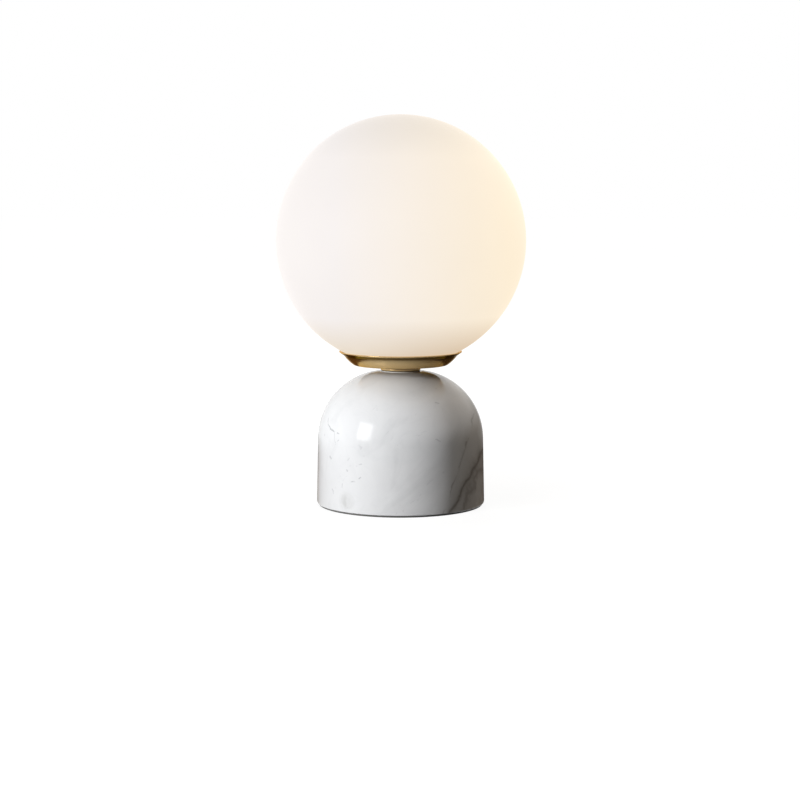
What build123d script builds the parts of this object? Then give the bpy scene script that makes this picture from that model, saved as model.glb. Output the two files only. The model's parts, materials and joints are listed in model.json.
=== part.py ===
"""Glass globe table lamp: an opal glass ball seated in a shallow brass dish, on a domed marble foot.

Millimetres, +Z up, origin on the table under the middle of the foot. The room side (front) is -Y, and the
mains flex enters at the back, +Y. Everything stands on one vertical axis, so heights are stacked from the
table up: felt pad, marble, brass collar, dish, lampholder, bulb, and the globe around them.
"""

from build123d import *
from math import cos, pi, radians, sin, sqrt, tan
import os

os.makedirs("parts", exist_ok=True)

# ---------------------------------------------------------------- driving dimensions
# Glass globe
globe_diameter = 200.0
glass_wall = 3.0
globe_hole_diameter = 66.0
glass_edge_round = 1.0
globe_seat_height = 3.5

# Marble foot
foot_diameter = 135.5
side_draft_angle = 1.2
dome_flat_diameter = 21.0
marble_height = 106.5
foot_edge_round = 0.9
cavity_height = 46.0
cavity_rim_width = 3.0

# Steel base plate, its screws and the felt pad
plate_diameter = 92.0
plate_thickness = 3.0
plate_screw_inset = 6.0
plate_screw_count = 3
plate_screw_first_angle = 30.0
plate_screw_diameter = 4.0
plate_screw_head_diameter = 8.0
plate_screw_length = 10.0
screw_slot_width = 1.0
screw_slot_depth = 0.8
insert_wall = 1.0
insert_length = 8.0
pad_thickness = 1.5
pad_inset = 1.5

# Flex gland in the back of the foot
gland_height = 16.0
gland_bore_diameter = 6.4
gland_barrel_wall = 1.7
gland_barrel_length = 14.0
gland_flange_width = 2.6
gland_flange_thickness = 2.0
gland_flange_round = 0.7
gland_seat_depth = 1.2

# Threaded tube that clamps foot, collar and dish together
tube_diameter = 10.0
tube_wall = 1.2
tube_play = 0.5
tube_tail = 3.0
nut_width = 14.0
nut_height = 5.0
nut_chamfer = 0.8
lock_washer_diameter = 16.0
lock_washer_thickness = 1.0
lock_washer_teeth = 12
lock_washer_tooth_depth = 1.6
foot_washer_diameter = 30.0
foot_washer_thickness = 1.5

# Brass collar and its clear pad on the marble
collar_diameter = 32.0
collar_height = 4.6
collar_edge_round = 0.6
collar_pad_thickness = 0.4
collar_pad_inset = 0.4

# Brass dish
dish_rim_diameter = 98.8
dish_floor_margin = 1.2
dish_wall = 1.2
dish_side_radius = 250.0
dish_lip_height = 1.0
dish_floor_round = 2.4
dish_lip_round = 0.3

# Gallery plate, its springs and rivets, and the silicone ring that the glass sits on
gallery_margin = 2.0
gallery_thickness = 1.0
spring_count = 3
spring_first_angle = 90.0
spring_width = 9.0
spring_thickness = 0.5
spring_bend_radius = 1.0
spring_heel_inset = 5.0
spring_foot_length = 7.0
spring_rise_height = 6.5
spring_tip_height = 8.0
spring_tip_lean = 4.0
rivet_diameter = 3.0
rivet_head_diameter = 5.0
rivet_head_height = 1.2
rivet_head_round = 0.9
gasket_width = 3.4

# Lampholder
bush_wall = 3.9
bush_height = 8.0
holder_wall = 2.0
cap_flare_height = 12.0
cap_skirt_height = 8.0
ceramic_height = 10.0
ceramic_ledge_width = 1.2
shell_height = 28.0
shell_wall = 3.6
shell_top_round = 1.0
shell_flute_count = 32
shell_flute_diameter = 1.2
shell_flute_margin = 5.0
sleeve_wall = 0.4
sleeve_height = 23.0
sleeve_bead_diameter = 0.9
post_pitch = 13.0
post_diameter = 4.0
post_bore_diameter = 1.6
post_gap = 1.3
contact_thickness = 0.6
contact_width = 5.0
contact_rise_height = 3.0
grub_screw_diameter = 3.0
grub_screw_height = 4.0

# LED golf-ball bulb
bulb_diameter = 45.0
bulb_tip_diameter = 9.0
bulb_tip_height = 1.4
bulb_insulator_height = 3.6
bulb_insulator_foot_diameter = 11.0
bulb_thread_diameter = 26.2
bulb_thread_depth = 0.9
bulb_thread_pitch = 3.6
bulb_thread_turns = 4
bulb_cap_wall = 0.4
bulb_cap_skirt_height = 5.0
bulb_housing_height = 20.0
bulb_housing_side_radius = 60.0
bulb_housing_wall = 1.4
bulb_spigot_length = 4.0
diffuser_wall = 1.2
diffuser_tuck_width = 2.0
led_board_thickness = 1.4
led_board_ledge_width = 1.2
led_count = 8
led_inset = 7.0
led_width = 3.0
led_height = 0.8
driver_width = 15.0
driver_height = 16.0
driver_thickness = 1.2

# Wiring inside the foot and the tube
wire_diameter = 2.2
wire_core_diameter = 1.4
wire_strip_length = 5.0
wire_pitch = 2.6
wire_bend_radius = 7.0
wire_loop_inset = 5.0
block_end_width = 5.0
block_depth = 16.0
block_height = 13.0
block_pole_pitch = 9.0
block_pole_height = 6.5
block_offset = 6.0
block_sleeve_diameter = 4.6
block_sleeve_bore_diameter = 2.6
block_sleeve_inset = 1.0
block_screw_diameter = 2.5
block_screw_length = 4.0
block_screw_pitch = 7.0
block_well_diameter = 4.2
block_fixing_diameter = 2.6
block_fixing_head_diameter = 4.6
block_fixing_head_height = 1.5
block_fixing_head_round = 0.5
earth_tag_rim_width = 3.4
earth_tag_thickness = 0.8
earth_tag_inset = 8.0
earth_tag_width = 6.0

# Clearances between pieces
running_fit = 0.1
seat_gap = 0.3
rim_gap = 0.4
recess_gap = 0.5

# ---------------------------------------------------------------- radii that follow from others
globe_radius = globe_diameter / 2
glass_inner_radius = globe_radius - glass_wall
globe_hole_radius = globe_hole_diameter / 2
gasket_outer_radius = globe_hole_radius + gasket_width
dish_floor_radius = gasket_outer_radius + dish_floor_margin
dish_rim_radius = dish_rim_diameter / 2
spring_heel_radius = globe_hole_radius - spring_heel_inset
spring_foot_radius = spring_heel_radius - spring_foot_length
rivet_circle_radius = (spring_heel_radius + spring_foot_radius) / 2
foot_radius = foot_diameter / 2
plate_screw_circle_radius = plate_diameter / 2 - plate_screw_inset
insert_radius = plate_screw_diameter / 2 + insert_wall
cavity_radius = plate_screw_circle_radius - insert_radius - cavity_rim_width
tube_radius = tube_diameter / 2
tube_clear_radius = tube_radius + running_fit
bush_radius = tube_clear_radius + bush_wall
bulb_radius = bulb_diameter / 2
bulb_thread_radius = bulb_thread_diameter / 2
bulb_root_radius = bulb_thread_radius - bulb_thread_depth
bulb_cap_bore_radius = bulb_root_radius - bulb_cap_wall
housing_rim_radius = bulb_radius - diffuser_tuck_width
sleeve_bore_radius = bulb_thread_radius + seat_gap
sleeve_radius = sleeve_bore_radius + sleeve_wall
sleeve_bead_radius = sleeve_bead_diameter / 2
shell_bore_radius = sleeve_radius + sleeve_bead_radius + running_fit
holder_radius = shell_bore_radius + shell_wall
holder_bore_radius = holder_radius - holder_wall

# ---------------------------------------------------------------- heights, stacked from the table
plate_z = pad_thickness
plate_top_z = plate_z + plate_thickness
cavity_top_z = plate_top_z + cavity_height
marble_top_z = plate_z + marble_height
collar_z = marble_top_z + collar_pad_thickness
dish_z = collar_z + collar_height
dish_floor_z = dish_z + dish_wall
gallery_top_z = dish_floor_z + gallery_thickness
dish_nut_z = gallery_top_z + lock_washer_thickness

# The edge of the globe's hole stands over the dish's floor, and the dish's rim meets the ball.
globe_centre_z = dish_floor_z + globe_seat_height + sqrt(globe_radius**2 - globe_hole_radius**2)
rim_inner_radius = dish_rim_radius - dish_wall
dish_rim_z = globe_centre_z - sqrt((globe_radius + rim_gap) ** 2 - rim_inner_radius**2)

foot_washer_z = cavity_top_z - foot_washer_thickness
earth_tag_z = foot_washer_z - earth_tag_thickness
foot_lock_washer_z = earth_tag_z - lock_washer_thickness
foot_nut_z = foot_lock_washer_z - nut_height
tube_foot_z = foot_nut_z - tube_tail

holder_z = dish_nut_z + nut_height
tube_top_z = holder_z + bush_height
ceramic_z = tube_top_z + cap_flare_height
cap_top_z = ceramic_z + cap_skirt_height
ceramic_top_z = ceramic_z + ceramic_height

bulb_tip_z = ceramic_top_z + contact_rise_height + seat_gap
bulb_insulator_z = bulb_tip_z + bulb_tip_height
bulb_thread_z = bulb_insulator_z + bulb_insulator_height
bulb_thread_top_z = bulb_thread_z + bulb_thread_turns * bulb_thread_pitch
bulb_housing_z = bulb_thread_top_z + bulb_cap_skirt_height
bulb_rim_z = bulb_housing_z + bulb_housing_height


def sphere_height(radius, ball_radius, ball_centre_z):
    """Height of a ball's lower surface at a distance from the axis."""
    return ball_centre_z - sqrt(ball_radius**2 - radius**2)


def save(piece, name):
    """Labels a finished sub-part and writes it to its own file."""
    piece.part.label = name
    export_step(piece.part, f"parts/{name}.step")


def washer(foot_z, diameter, thickness):
    """A plain round washer on the tube."""
    with BuildPart() as ring:
        with BuildSketch(Plane.XY.offset(foot_z)):
            Circle(diameter / 2)
            Circle(tube_clear_radius, mode=Mode.SUBTRACT)
        extrude(amount=thickness)
    return ring


def toothed_washer(foot_z):
    """A lock washer with outside teeth, on the tube."""
    with BuildPart() as ring:
        with BuildSketch(Plane.XY.offset(foot_z)):
            Circle(lock_washer_diameter / 2)
            Circle(tube_clear_radius, mode=Mode.SUBTRACT)
            with PolarLocations(lock_washer_diameter / 2, lock_washer_teeth):
                Rectangle(2 * lock_washer_tooth_depth, lock_washer_tooth_depth, mode=Mode.SUBTRACT)
        extrude(amount=lock_washer_thickness)
    return ring


def hex_nut(foot_z):
    """A hexagon nut on the tube, with its corners turned off at both faces."""
    with BuildPart() as nut:
        with BuildSketch(Plane.XY.offset(foot_z)):
            RegularPolygon(nut_width / 2, 6, major_radius=False)
        extrude(amount=nut_height)
        with BuildSketch(Plane.XZ):
            corner_radius = nut_width / 2 / cos(pi / 6)
            chamfer_height = nut_chamfer * tan(pi / 6)
            with BuildLine():
                Polyline(
                    (0, foot_z),
                    (corner_radius - nut_chamfer, foot_z),
                    (corner_radius, foot_z + chamfer_height),
                    (corner_radius, foot_z + nut_height - chamfer_height),
                    (corner_radius - nut_chamfer, foot_z + nut_height),
                    (0, foot_z + nut_height),
                    close=True,
                )
            make_face()
        revolve(axis=Axis.Z, mode=Mode.INTERSECT)
        with BuildSketch(Plane.XY.offset(foot_z)):
            Circle(tube_clear_radius)
        extrude(amount=nut_height, mode=Mode.SUBTRACT)
    return nut


# ---------------------------------------------------------------- marble foot
# A stone cylinder with a slight draft, rounded over into a dome whose very top is ground flat for the
# collar. It is drilled for the tube, hollowed from below for the wiring, and rebated for the base plate.
side_lean = tan(radians(side_draft_angle))
dome_flat_radius = dome_flat_diameter / 2
dome_radius = foot_radius - marble_height * side_lean - dome_flat_radius
collar_seat_radius = collar_diameter / 2 + recess_gap
crown_drop = dome_radius - sqrt(dome_radius**2 - (collar_seat_radius - dome_flat_radius) ** 2)
crown_height = marble_height + crown_drop
gland_barrel_radius = gland_bore_diameter / 2 + gland_barrel_wall
gland_flange_radius = gland_barrel_radius + gland_flange_width
gland_seat_y = foot_radius - (gland_height - plate_z) * side_lean - gland_seat_depth

with BuildPart() as marble_base:
    with BuildSketch(Plane.XZ):
        with BuildLine():
            Polyline(
                (0, plate_z),
                (foot_radius, plate_z),
                (foot_radius - crown_height * side_lean, plate_z + crown_height),
                (0, plate_z + crown_height),
                close=True,
            )
        make_face()
        fillet(vertices().group_by(Axis.Y)[-1].sort_by(Axis.X)[-1], dome_radius)
        fillet(vertices().group_by(Axis.Y)[0].sort_by(Axis.X)[-1], foot_edge_round)
    revolve(axis=Axis.Z)
    with BuildSketch(Plane.XY.offset(marble_top_z)):
        Circle(foot_radius)
    extrude(amount=2 * crown_drop, mode=Mode.SUBTRACT)
    with BuildSketch(Plane.XY.offset(plate_z)):
        Circle(plate_diameter / 2 + recess_gap)
    extrude(amount=plate_thickness, mode=Mode.SUBTRACT)
    with BuildSketch(Plane.XY.offset(plate_top_z)):
        Circle(cavity_radius)
    extrude(amount=cavity_height, mode=Mode.SUBTRACT)
    with BuildSketch(Plane.XY.offset(cavity_top_z)):
        Circle(tube_radius + tube_play)
    extrude(amount=marble_top_z - cavity_top_z, mode=Mode.SUBTRACT)
    with BuildSketch(Plane.XY.offset(plate_top_z)):
        with PolarLocations(plate_screw_circle_radius, plate_screw_count, plate_screw_first_angle):
            Circle(insert_radius + running_fit)
    extrude(amount=max(insert_length, plate_screw_length - plate_thickness) + recess_gap, mode=Mode.SUBTRACT)
    with BuildSketch(Plane.XZ.offset(-gland_seat_y)):
        with Locations((0, gland_height)):
            Circle(gland_flange_radius + running_fit)
    extrude(amount=-gland_seat_depth - gland_flange_thickness, mode=Mode.SUBTRACT)
    with BuildSketch(Plane.XZ.offset(-gland_seat_y)):
        with Locations((0, gland_height)):
            Circle(gland_barrel_radius + running_fit)
    extrude(amount=gland_seat_y, mode=Mode.SUBTRACT)
save(marble_base, "marble_base")

# ---------------------------------------------------------------- base plate, screws, inserts, pad
block_y = -block_offset
block_fixing_x = block_pole_pitch / 2
with BuildPart() as base_plate:
    with BuildSketch(Plane.XY.offset(plate_z)):
        Circle(plate_diameter / 2)
    extrude(amount=plate_thickness)
    with Locations(Plane.XY.offset(plate_z) * Rotation(180, 0, 0)):
        with PolarLocations(plate_screw_circle_radius, plate_screw_count, -plate_screw_first_angle):
            CounterSinkHole(
                plate_screw_diameter / 2 + running_fit,
                plate_screw_head_diameter / 2 + running_fit,
                depth=plate_thickness,
                counter_sink_angle=90,
            )
    with Locations((block_fixing_x, block_y, plate_top_z)):
        Hole(block_fixing_diameter / 2 + running_fit, depth=plate_thickness)
save(base_plate, "base_plate")

plate_screw_radius = plate_screw_diameter / 2
plate_screw_head_radius = plate_screw_head_diameter / 2
head_height = plate_screw_head_radius - plate_screw_radius
with BuildPart() as plate_screw:
    with BuildSketch(Plane.XZ):
        with BuildLine():
            Polyline(
                (0, plate_z),
                (plate_screw_head_radius, plate_z),
                (plate_screw_radius, plate_z + head_height),
                (plate_screw_radius, plate_z + plate_screw_length),
                (0, plate_z + plate_screw_length),
                close=True,
            )
        make_face()
    revolve(axis=Axis.Z)
    with BuildSketch(Plane.XY.offset(plate_z)):
        Rectangle(plate_screw_diameter, screw_slot_width)
        Rectangle(screw_slot_width, plate_screw_diameter)
    extrude(amount=screw_slot_depth, mode=Mode.SUBTRACT)
with BuildPart() as plate_screws:
    with PolarLocations(plate_screw_circle_radius, plate_screw_count, plate_screw_first_angle):
        add(plate_screw.part)
save(plate_screws, "plate_screws")

with BuildPart() as plate_inserts:
    with BuildSketch(Plane.XY.offset(plate_top_z)):
        with PolarLocations(plate_screw_circle_radius, plate_screw_count, plate_screw_first_angle):
            Circle(insert_radius)
            Circle(plate_screw_radius + running_fit, mode=Mode.SUBTRACT)
    extrude(amount=insert_length)
save(plate_inserts, "plate_inserts")

with BuildPart() as base_pad:
    with BuildSketch():
        Circle(foot_radius - pad_inset)
    extrude(amount=pad_thickness)
save(base_pad, "base_pad")

# ---------------------------------------------------------------- flex gland
# A turned brass bush with a flange, pushed into the seat in the back of the foot.
gland_mouth_y = gland_seat_y + gland_flange_thickness
with BuildPart() as flex_gland:
    with BuildSketch(Plane.XZ.offset(-gland_mouth_y)):
        with Locations((0, gland_height)):
            Circle(gland_flange_radius)
    extrude(amount=gland_flange_thickness)
    fillet(edges().group_by(Axis.Y)[-1], gland_flange_round)
    with BuildSketch(Plane.XZ.offset(-gland_seat_y)):
        with Locations((0, gland_height)):
            Circle(gland_barrel_radius)
    extrude(amount=gland_barrel_length)
    with BuildSketch(Plane.XZ.offset(-gland_mouth_y)):
        with Locations((0, gland_height)):
            Circle(gland_bore_diameter / 2)
    extrude(amount=gland_flange_thickness + gland_barrel_length, mode=Mode.SUBTRACT)
save(flex_gland, "flex_gland")

# ---------------------------------------------------------------- tube, nuts and washers
with BuildPart() as threaded_tube:
    with BuildSketch(Plane.XY.offset(tube_foot_z)):
        Circle(tube_radius)
        Circle(tube_radius - tube_wall, mode=Mode.SUBTRACT)
    extrude(amount=tube_top_z - tube_foot_z)
save(threaded_tube, "threaded_tube")

save(washer(foot_washer_z, foot_washer_diameter, foot_washer_thickness), "foot_washer")
save(toothed_washer(foot_lock_washer_z), "foot_lock_washer")
save(hex_nut(foot_nut_z), "foot_nut")
save(toothed_washer(gallery_top_z), "dish_lock_washer")
save(hex_nut(dish_nut_z), "dish_nut")

core_radius = wire_core_diameter / 2
earth_tag_reach = cavity_radius - earth_tag_inset
with BuildPart() as earth_tag:
    with BuildSketch(Plane.XY.offset(earth_tag_z)):
        Circle(tube_clear_radius + earth_tag_rim_width)
        with Locations((0, -earth_tag_reach / 2)):
            Rectangle(earth_tag_width, earth_tag_reach)
        Circle(tube_clear_radius, mode=Mode.SUBTRACT)
        with Locations((0, -earth_tag_reach)):
            Circle(earth_tag_width / 2)
            Circle(core_radius + running_fit, mode=Mode.SUBTRACT)
    extrude(amount=earth_tag_thickness)
save(earth_tag, "earth_tag")

# ---------------------------------------------------------------- collar and its pad
save(
    washer(marble_top_z, collar_diameter - 2 * collar_pad_inset, collar_pad_thickness),
    "collar_pad",
)

with BuildPart() as neck_collar:
    with BuildSketch(Plane.XY.offset(collar_z)):
        Circle(collar_diameter / 2)
    extrude(amount=collar_height)
    fillet(edges().filter_by(GeomType.CIRCLE), collar_edge_round)
    with BuildSketch(Plane.XY.offset(collar_z)):
        Circle(tube_clear_radius)
    extrude(amount=collar_height, mode=Mode.SUBTRACT)
save(neck_collar, "neck_collar")

# ---------------------------------------------------------------- dish
# Spun brass: a flat floor, a slightly bowed side and a short upright lip round the glass.
dish_lip_z = dish_rim_z - dish_lip_height
with BuildPart() as dish:
    with BuildSketch(Plane.XZ):
        with BuildLine():
            Line((0, dish_z), (dish_floor_radius, dish_z))
            RadiusArc((dish_floor_radius, dish_z), (dish_rim_radius, dish_lip_z), -dish_side_radius)
            Polyline(
                (dish_rim_radius, dish_lip_z),
                (dish_rim_radius, dish_rim_z),
                (0, dish_rim_z),
                (0, dish_z),
            )
        make_face()
        fillet(vertices().group_by(Axis.Y)[0].sort_by(Axis.X)[-1], dish_floor_round)
    revolve(axis=Axis.Z)
    offset(amount=-dish_wall, openings=faces().sort_by(Axis.Z)[-1])
    fillet(edges().group_by(Axis.Z)[-1], dish_lip_round)
    with BuildSketch(Plane.XY.offset(dish_z)):
        Circle(tube_clear_radius)
    extrude(amount=dish_wall, mode=Mode.SUBTRACT)
save(dish, "dish")

# ---------------------------------------------------------------- gallery plate, springs, rivets
spring_angles = dict(count=spring_count, start_angle=spring_first_angle)
with BuildPart() as gallery_plate:
    with BuildSketch(Plane.XY.offset(dish_floor_z)):
        Circle(spring_heel_radius + gallery_margin)
        Circle(tube_clear_radius, mode=Mode.SUBTRACT)
        with PolarLocations(rivet_circle_radius, **spring_angles):
            Circle(rivet_diameter / 2 + running_fit, mode=Mode.SUBTRACT)
    extrude(amount=gallery_thickness)
save(gallery_plate, "gallery_plate")

# One spring, standing at angle zero: a flat foot under its rivet, a finger that rises to the edge of the
# hole in the glass, and a tip that leans back in to guide the globe down.
spring_mid_z = gallery_top_z + spring_thickness / 2
spring_corner_radius = globe_hole_radius - seat_gap
spring_touch_radius = sqrt(spring_corner_radius**2 - (spring_width / 2) ** 2) - spring_thickness / 2
spring_touch_z = spring_mid_z + spring_rise_height
with BuildPart() as globe_spring:
    with BuildSketch(Plane.XZ):
        with BuildLine():
            FilletPolyline(
                (spring_foot_radius, spring_mid_z),
                (spring_heel_radius, spring_mid_z),
                (spring_touch_radius, spring_touch_z),
                (spring_touch_radius - spring_tip_lean, spring_touch_z + spring_tip_height),
                radius=spring_bend_radius,
            )
        trace(line_width=spring_thickness)
    extrude(amount=spring_width / 2, both=True)
    with BuildSketch(Plane.XY.offset(gallery_top_z)):
        with Locations((rivet_circle_radius, 0)):
            Circle(rivet_diameter / 2 + running_fit)
    extrude(amount=spring_thickness, mode=Mode.SUBTRACT)
with BuildPart() as globe_springs:
    with PolarLocations(0, **spring_angles):
        add(globe_spring.part)
save(globe_springs, "globe_springs")

with BuildPart() as spring_rivet:
    with BuildSketch(Plane.XY.offset(dish_floor_z)):
        Circle(rivet_diameter / 2)
    extrude(amount=gallery_thickness + spring_thickness)
    with BuildSketch(Plane.XY.offset(gallery_top_z + spring_thickness)):
        Circle(rivet_head_diameter / 2)
    extrude(amount=rivet_head_height)
    fillet(edges().group_by(Axis.Z)[-1], rivet_head_round)
with BuildPart() as spring_rivets:
    with PolarLocations(rivet_circle_radius, **spring_angles):
        add(spring_rivet.part)
save(spring_rivets, "spring_rivets")

# ---------------------------------------------------------------- silicone ring under the glass
gasket_top_points = [
    (radius, sphere_height(radius, globe_radius + seat_gap, globe_centre_z))
    for radius in (globe_hole_radius, globe_hole_radius + gasket_width / 2, gasket_outer_radius)
]
with BuildPart() as globe_gasket:
    with BuildSketch(Plane.XZ):
        with BuildLine():
            ThreePointArc(*gasket_top_points)
            Polyline(
                gasket_top_points[-1],
                (gasket_outer_radius, dish_floor_z),
                (globe_hole_radius, dish_floor_z),
                gasket_top_points[0],
            )
        make_face()
    revolve(axis=Axis.Z)
save(globe_gasket, "globe_gasket")

# ---------------------------------------------------------------- glass globe
# A blown opal ball with one drilled hole, its cut edge fire-polished.
hole_outer_edge = (globe_hole_radius, sphere_height(globe_hole_radius, globe_radius, globe_centre_z))
hole_inner_edge = (globe_hole_radius, sphere_height(globe_hole_radius, glass_inner_radius, globe_centre_z))
with BuildPart() as glass_globe:
    with BuildSketch(Plane.XZ):
        with BuildLine():
            ThreePointArc(
                hole_outer_edge,
                (globe_radius, globe_centre_z),
                (0, globe_centre_z + globe_radius),
            )
            Line((0, globe_centre_z + globe_radius), (0, globe_centre_z + glass_inner_radius))
            ThreePointArc(
                (0, globe_centre_z + glass_inner_radius),
                (glass_inner_radius, globe_centre_z),
                hole_inner_edge,
            )
            Line(hole_inner_edge, hole_outer_edge)
        make_face()
    revolve(axis=Axis.Z)
    fillet(edges().filter_by(GeomType.CIRCLE).sort_by(Axis.Z)[:2], glass_edge_round)
save(glass_globe, "glass_globe")

# ---------------------------------------------------------------- terminal block on the base plate
# Three brass sleeves lie along Y in a moulded body, each with two clamping screws reached from above.
block_z = plate_top_z
block_pole_z = block_z + block_pole_height
block_sleeve_length = block_depth - 2 * block_sleeve_inset
block_sleeve_mouth_y = block_y - block_sleeve_length / 2
block_length = 2 * (block_pole_pitch + block_end_width)
block_screw_places = [
    Location((0, block_y, 0)) * place
    for place in GridLocations(block_pole_pitch, block_screw_pitch, 3, 2).locations
]
pole_plane = Plane.XZ.offset(block_depth / 2 - block_y)
sleeve_plane = Plane.XZ.offset(-block_sleeve_mouth_y)

with BuildPart() as terminal_block:
    with BuildSketch(Plane.XY.offset(block_z)):
        with Locations((0, block_y)):
            Rectangle(block_length, block_depth)
    extrude(amount=block_height)
    fillet(edges().filter_by(Axis.Z), block_sleeve_inset)
    with BuildSketch(pole_plane):
        with Locations((0, block_pole_z)):
            with GridLocations(block_pole_pitch, 1, 3, 1):
                Circle(block_sleeve_diameter / 2 + running_fit)
    extrude(amount=-block_depth, mode=Mode.SUBTRACT)
    with BuildSketch(Plane.XY.offset(block_z + block_height)):
        with Locations(*block_screw_places):
            Circle(block_well_diameter / 2)
    extrude(amount=block_pole_height - block_height, mode=Mode.SUBTRACT)
    with Locations((block_fixing_x, block_y, block_z + block_height)):
        Hole(block_fixing_diameter / 2 + running_fit, depth=block_height)
save(terminal_block, "terminal_block")

with BuildPart() as block_sleeves:
    with BuildSketch(sleeve_plane):
        with Locations((0, block_pole_z)):
            with GridLocations(block_pole_pitch, 1, 3, 1):
                Circle(block_sleeve_diameter / 2)
                Circle(block_sleeve_bore_diameter / 2, mode=Mode.SUBTRACT)
    extrude(amount=-block_sleeve_length)
    with BuildSketch(Plane.XY.offset(block_pole_z)):
        with Locations(*block_screw_places):
            Circle(block_screw_diameter / 2 + running_fit)
    extrude(amount=block_sleeve_diameter, mode=Mode.SUBTRACT)
save(block_sleeves, "block_sleeves")

with BuildPart() as block_screws:
    with BuildSketch(Plane.XY.offset(block_pole_z + core_radius)):
        with Locations(*block_screw_places):
            Circle(block_screw_diameter / 2)
    extrude(amount=block_screw_length)
    with BuildSketch(Plane.XY.offset(block_pole_z + core_radius + block_screw_length)):
        with Locations(*block_screw_places):
            Rectangle(block_screw_diameter, screw_slot_width)
    extrude(amount=-screw_slot_depth, mode=Mode.SUBTRACT)
save(block_screws, "block_screws")

with BuildPart() as block_fixing_screw:
    with BuildSketch(Plane.XY.offset(plate_z)):
        with Locations((block_fixing_x, block_y)):
            Circle(block_fixing_diameter / 2)
    extrude(amount=plate_thickness + block_height)
    with BuildSketch(Plane.XY.offset(block_z + block_height)):
        with Locations((block_fixing_x, block_y)):
            Circle(block_fixing_head_diameter / 2)
    extrude(amount=block_fixing_head_height)
    fillet(edges().group_by(Axis.Z)[-1], block_fixing_head_round)
    with BuildSketch(Plane.XY.offset(block_z + block_height + block_fixing_head_height)):
        with Locations((block_fixing_x, block_y)):
            Rectangle(block_fixing_head_diameter, screw_slot_width)
    extrude(amount=-screw_slot_depth, mode=Mode.SUBTRACT)
save(block_fixing_screw, "block_fixing_screw")

# ---------------------------------------------------------------- wires
# Each lead is an insulated round wire with a bare core at both ends. Live and neutral leave the front of
# the terminal block, loop up and back over it and climb the tube to the lampholder. Earth stops at its tag.
post_x = post_pitch / 2
wire_x = wire_pitch / 2
loop_y = wire_loop_inset - cavity_radius
loop_z = tube_foot_z - wire_bend_radius - wire_diameter / 2


def lead_wire(route, end_strip_length):
    """An insulated wire along a route of straight runs and arcs, with a bare core standing out of each end."""
    with BuildPart() as lead:
        with BuildLine() as path:
            FilletPolyline(*route, radius=wire_bend_radius)
        run = path.wire()
        with BuildSketch(Plane(origin=run @ 0, z_dir=run % 0)):
            Circle(wire_diameter / 2)
        sweep(path=run)
        with BuildSketch(Plane(origin=run @ 0, z_dir=run % 0)):
            Circle(core_radius)
        extrude(amount=-wire_strip_length)
        with BuildSketch(Plane(origin=run @ 1, z_dir=run % 1)):
            Circle(core_radius)
        extrude(amount=end_strip_length)
    section_volume = pi * (wire_diameter / 2) ** 2 * run.length
    core_volume = pi * core_radius**2 * (wire_strip_length + end_strip_length)
    print("wire bends", wire_bend_radius, "mm, length", round(run.length, 1), "mm, volume over")
    print("its sections times their lengths", round(lead.part.volume / (section_volume + core_volume), 4))
    return lead


def mains_route(side):
    """The live (-1) or neutral (+1) route, from its pole of the block to its post of the lampholder."""
    pole_x = side * block_pole_pitch
    return [
        (pole_x, block_sleeve_mouth_y, block_pole_z),
        (pole_x, loop_y, block_pole_z),
        (pole_x, loop_y, loop_z),
        (side * wire_x, 0, loop_z),
        (side * wire_x, 0, tube_top_z + wire_diameter),
        (side * post_x, 0, ceramic_z - 1.5 * wire_diameter),
        (side * post_x, 0, ceramic_z),
    ]


save(lead_wire(mains_route(-1), wire_strip_length), "live_wire")
save(lead_wire(mains_route(1), wire_strip_length), "neutral_wire")
earth_route = [
    (0, block_sleeve_mouth_y, block_pole_z),
    (0, -earth_tag_reach, block_pole_z),
    (0, -earth_tag_reach, earth_tag_z),
]
save(lead_wire(earth_route, earth_tag_thickness + core_radius), "earth_wire")

# ---------------------------------------------------------------- lampholder cap and grub screw
# A moulded cap: a bush bored for the tube, a flare, and a skirt with a ledge inside for the ceramic.
ledge_radius = holder_bore_radius - ceramic_ledge_width
grub_screw_z = holder_z + grub_screw_height
grub_plane = Plane.XZ.offset(tube_clear_radius)
grub_screw_length = bush_radius - tube_clear_radius
with BuildPart() as holder_cap:
    with BuildSketch(Plane.XZ):
        with BuildLine():
            Polyline(
                (tube_clear_radius, holder_z),
                (bush_radius, holder_z),
                (bush_radius, tube_top_z),
                (holder_radius, ceramic_z),
                (holder_radius, cap_top_z),
                (holder_bore_radius, cap_top_z),
                (holder_bore_radius, ceramic_z),
                (ledge_radius, ceramic_z),
                (tube_clear_radius, tube_top_z),
                close=True,
            )
        make_face()
    revolve(axis=Axis.Z)
    fillet(edges().filter_by_position(Axis.Z, ceramic_z, ceramic_z).sort_by(SortBy.LENGTH)[-1], holder_wall)
    with BuildSketch(grub_plane):
        with Locations((0, grub_screw_z)):
            Circle(grub_screw_diameter / 2 + running_fit)
    extrude(amount=grub_screw_length, mode=Mode.SUBTRACT)
save(holder_cap, "holder_cap")

with BuildPart() as holder_grub_screw:
    with BuildSketch(grub_plane):
        with Locations((0, grub_screw_z)):
            Circle(grub_screw_diameter / 2)
    extrude(amount=grub_screw_length)
    with BuildSketch(Plane.XZ.offset(bush_radius)):
        with Locations((0, grub_screw_z)):
            RegularPolygon(grub_screw_diameter / 4, 6)
    extrude(amount=-grub_screw_length / 2, mode=Mode.SUBTRACT)
save(holder_grub_screw, "holder_grub_screw")

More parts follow.
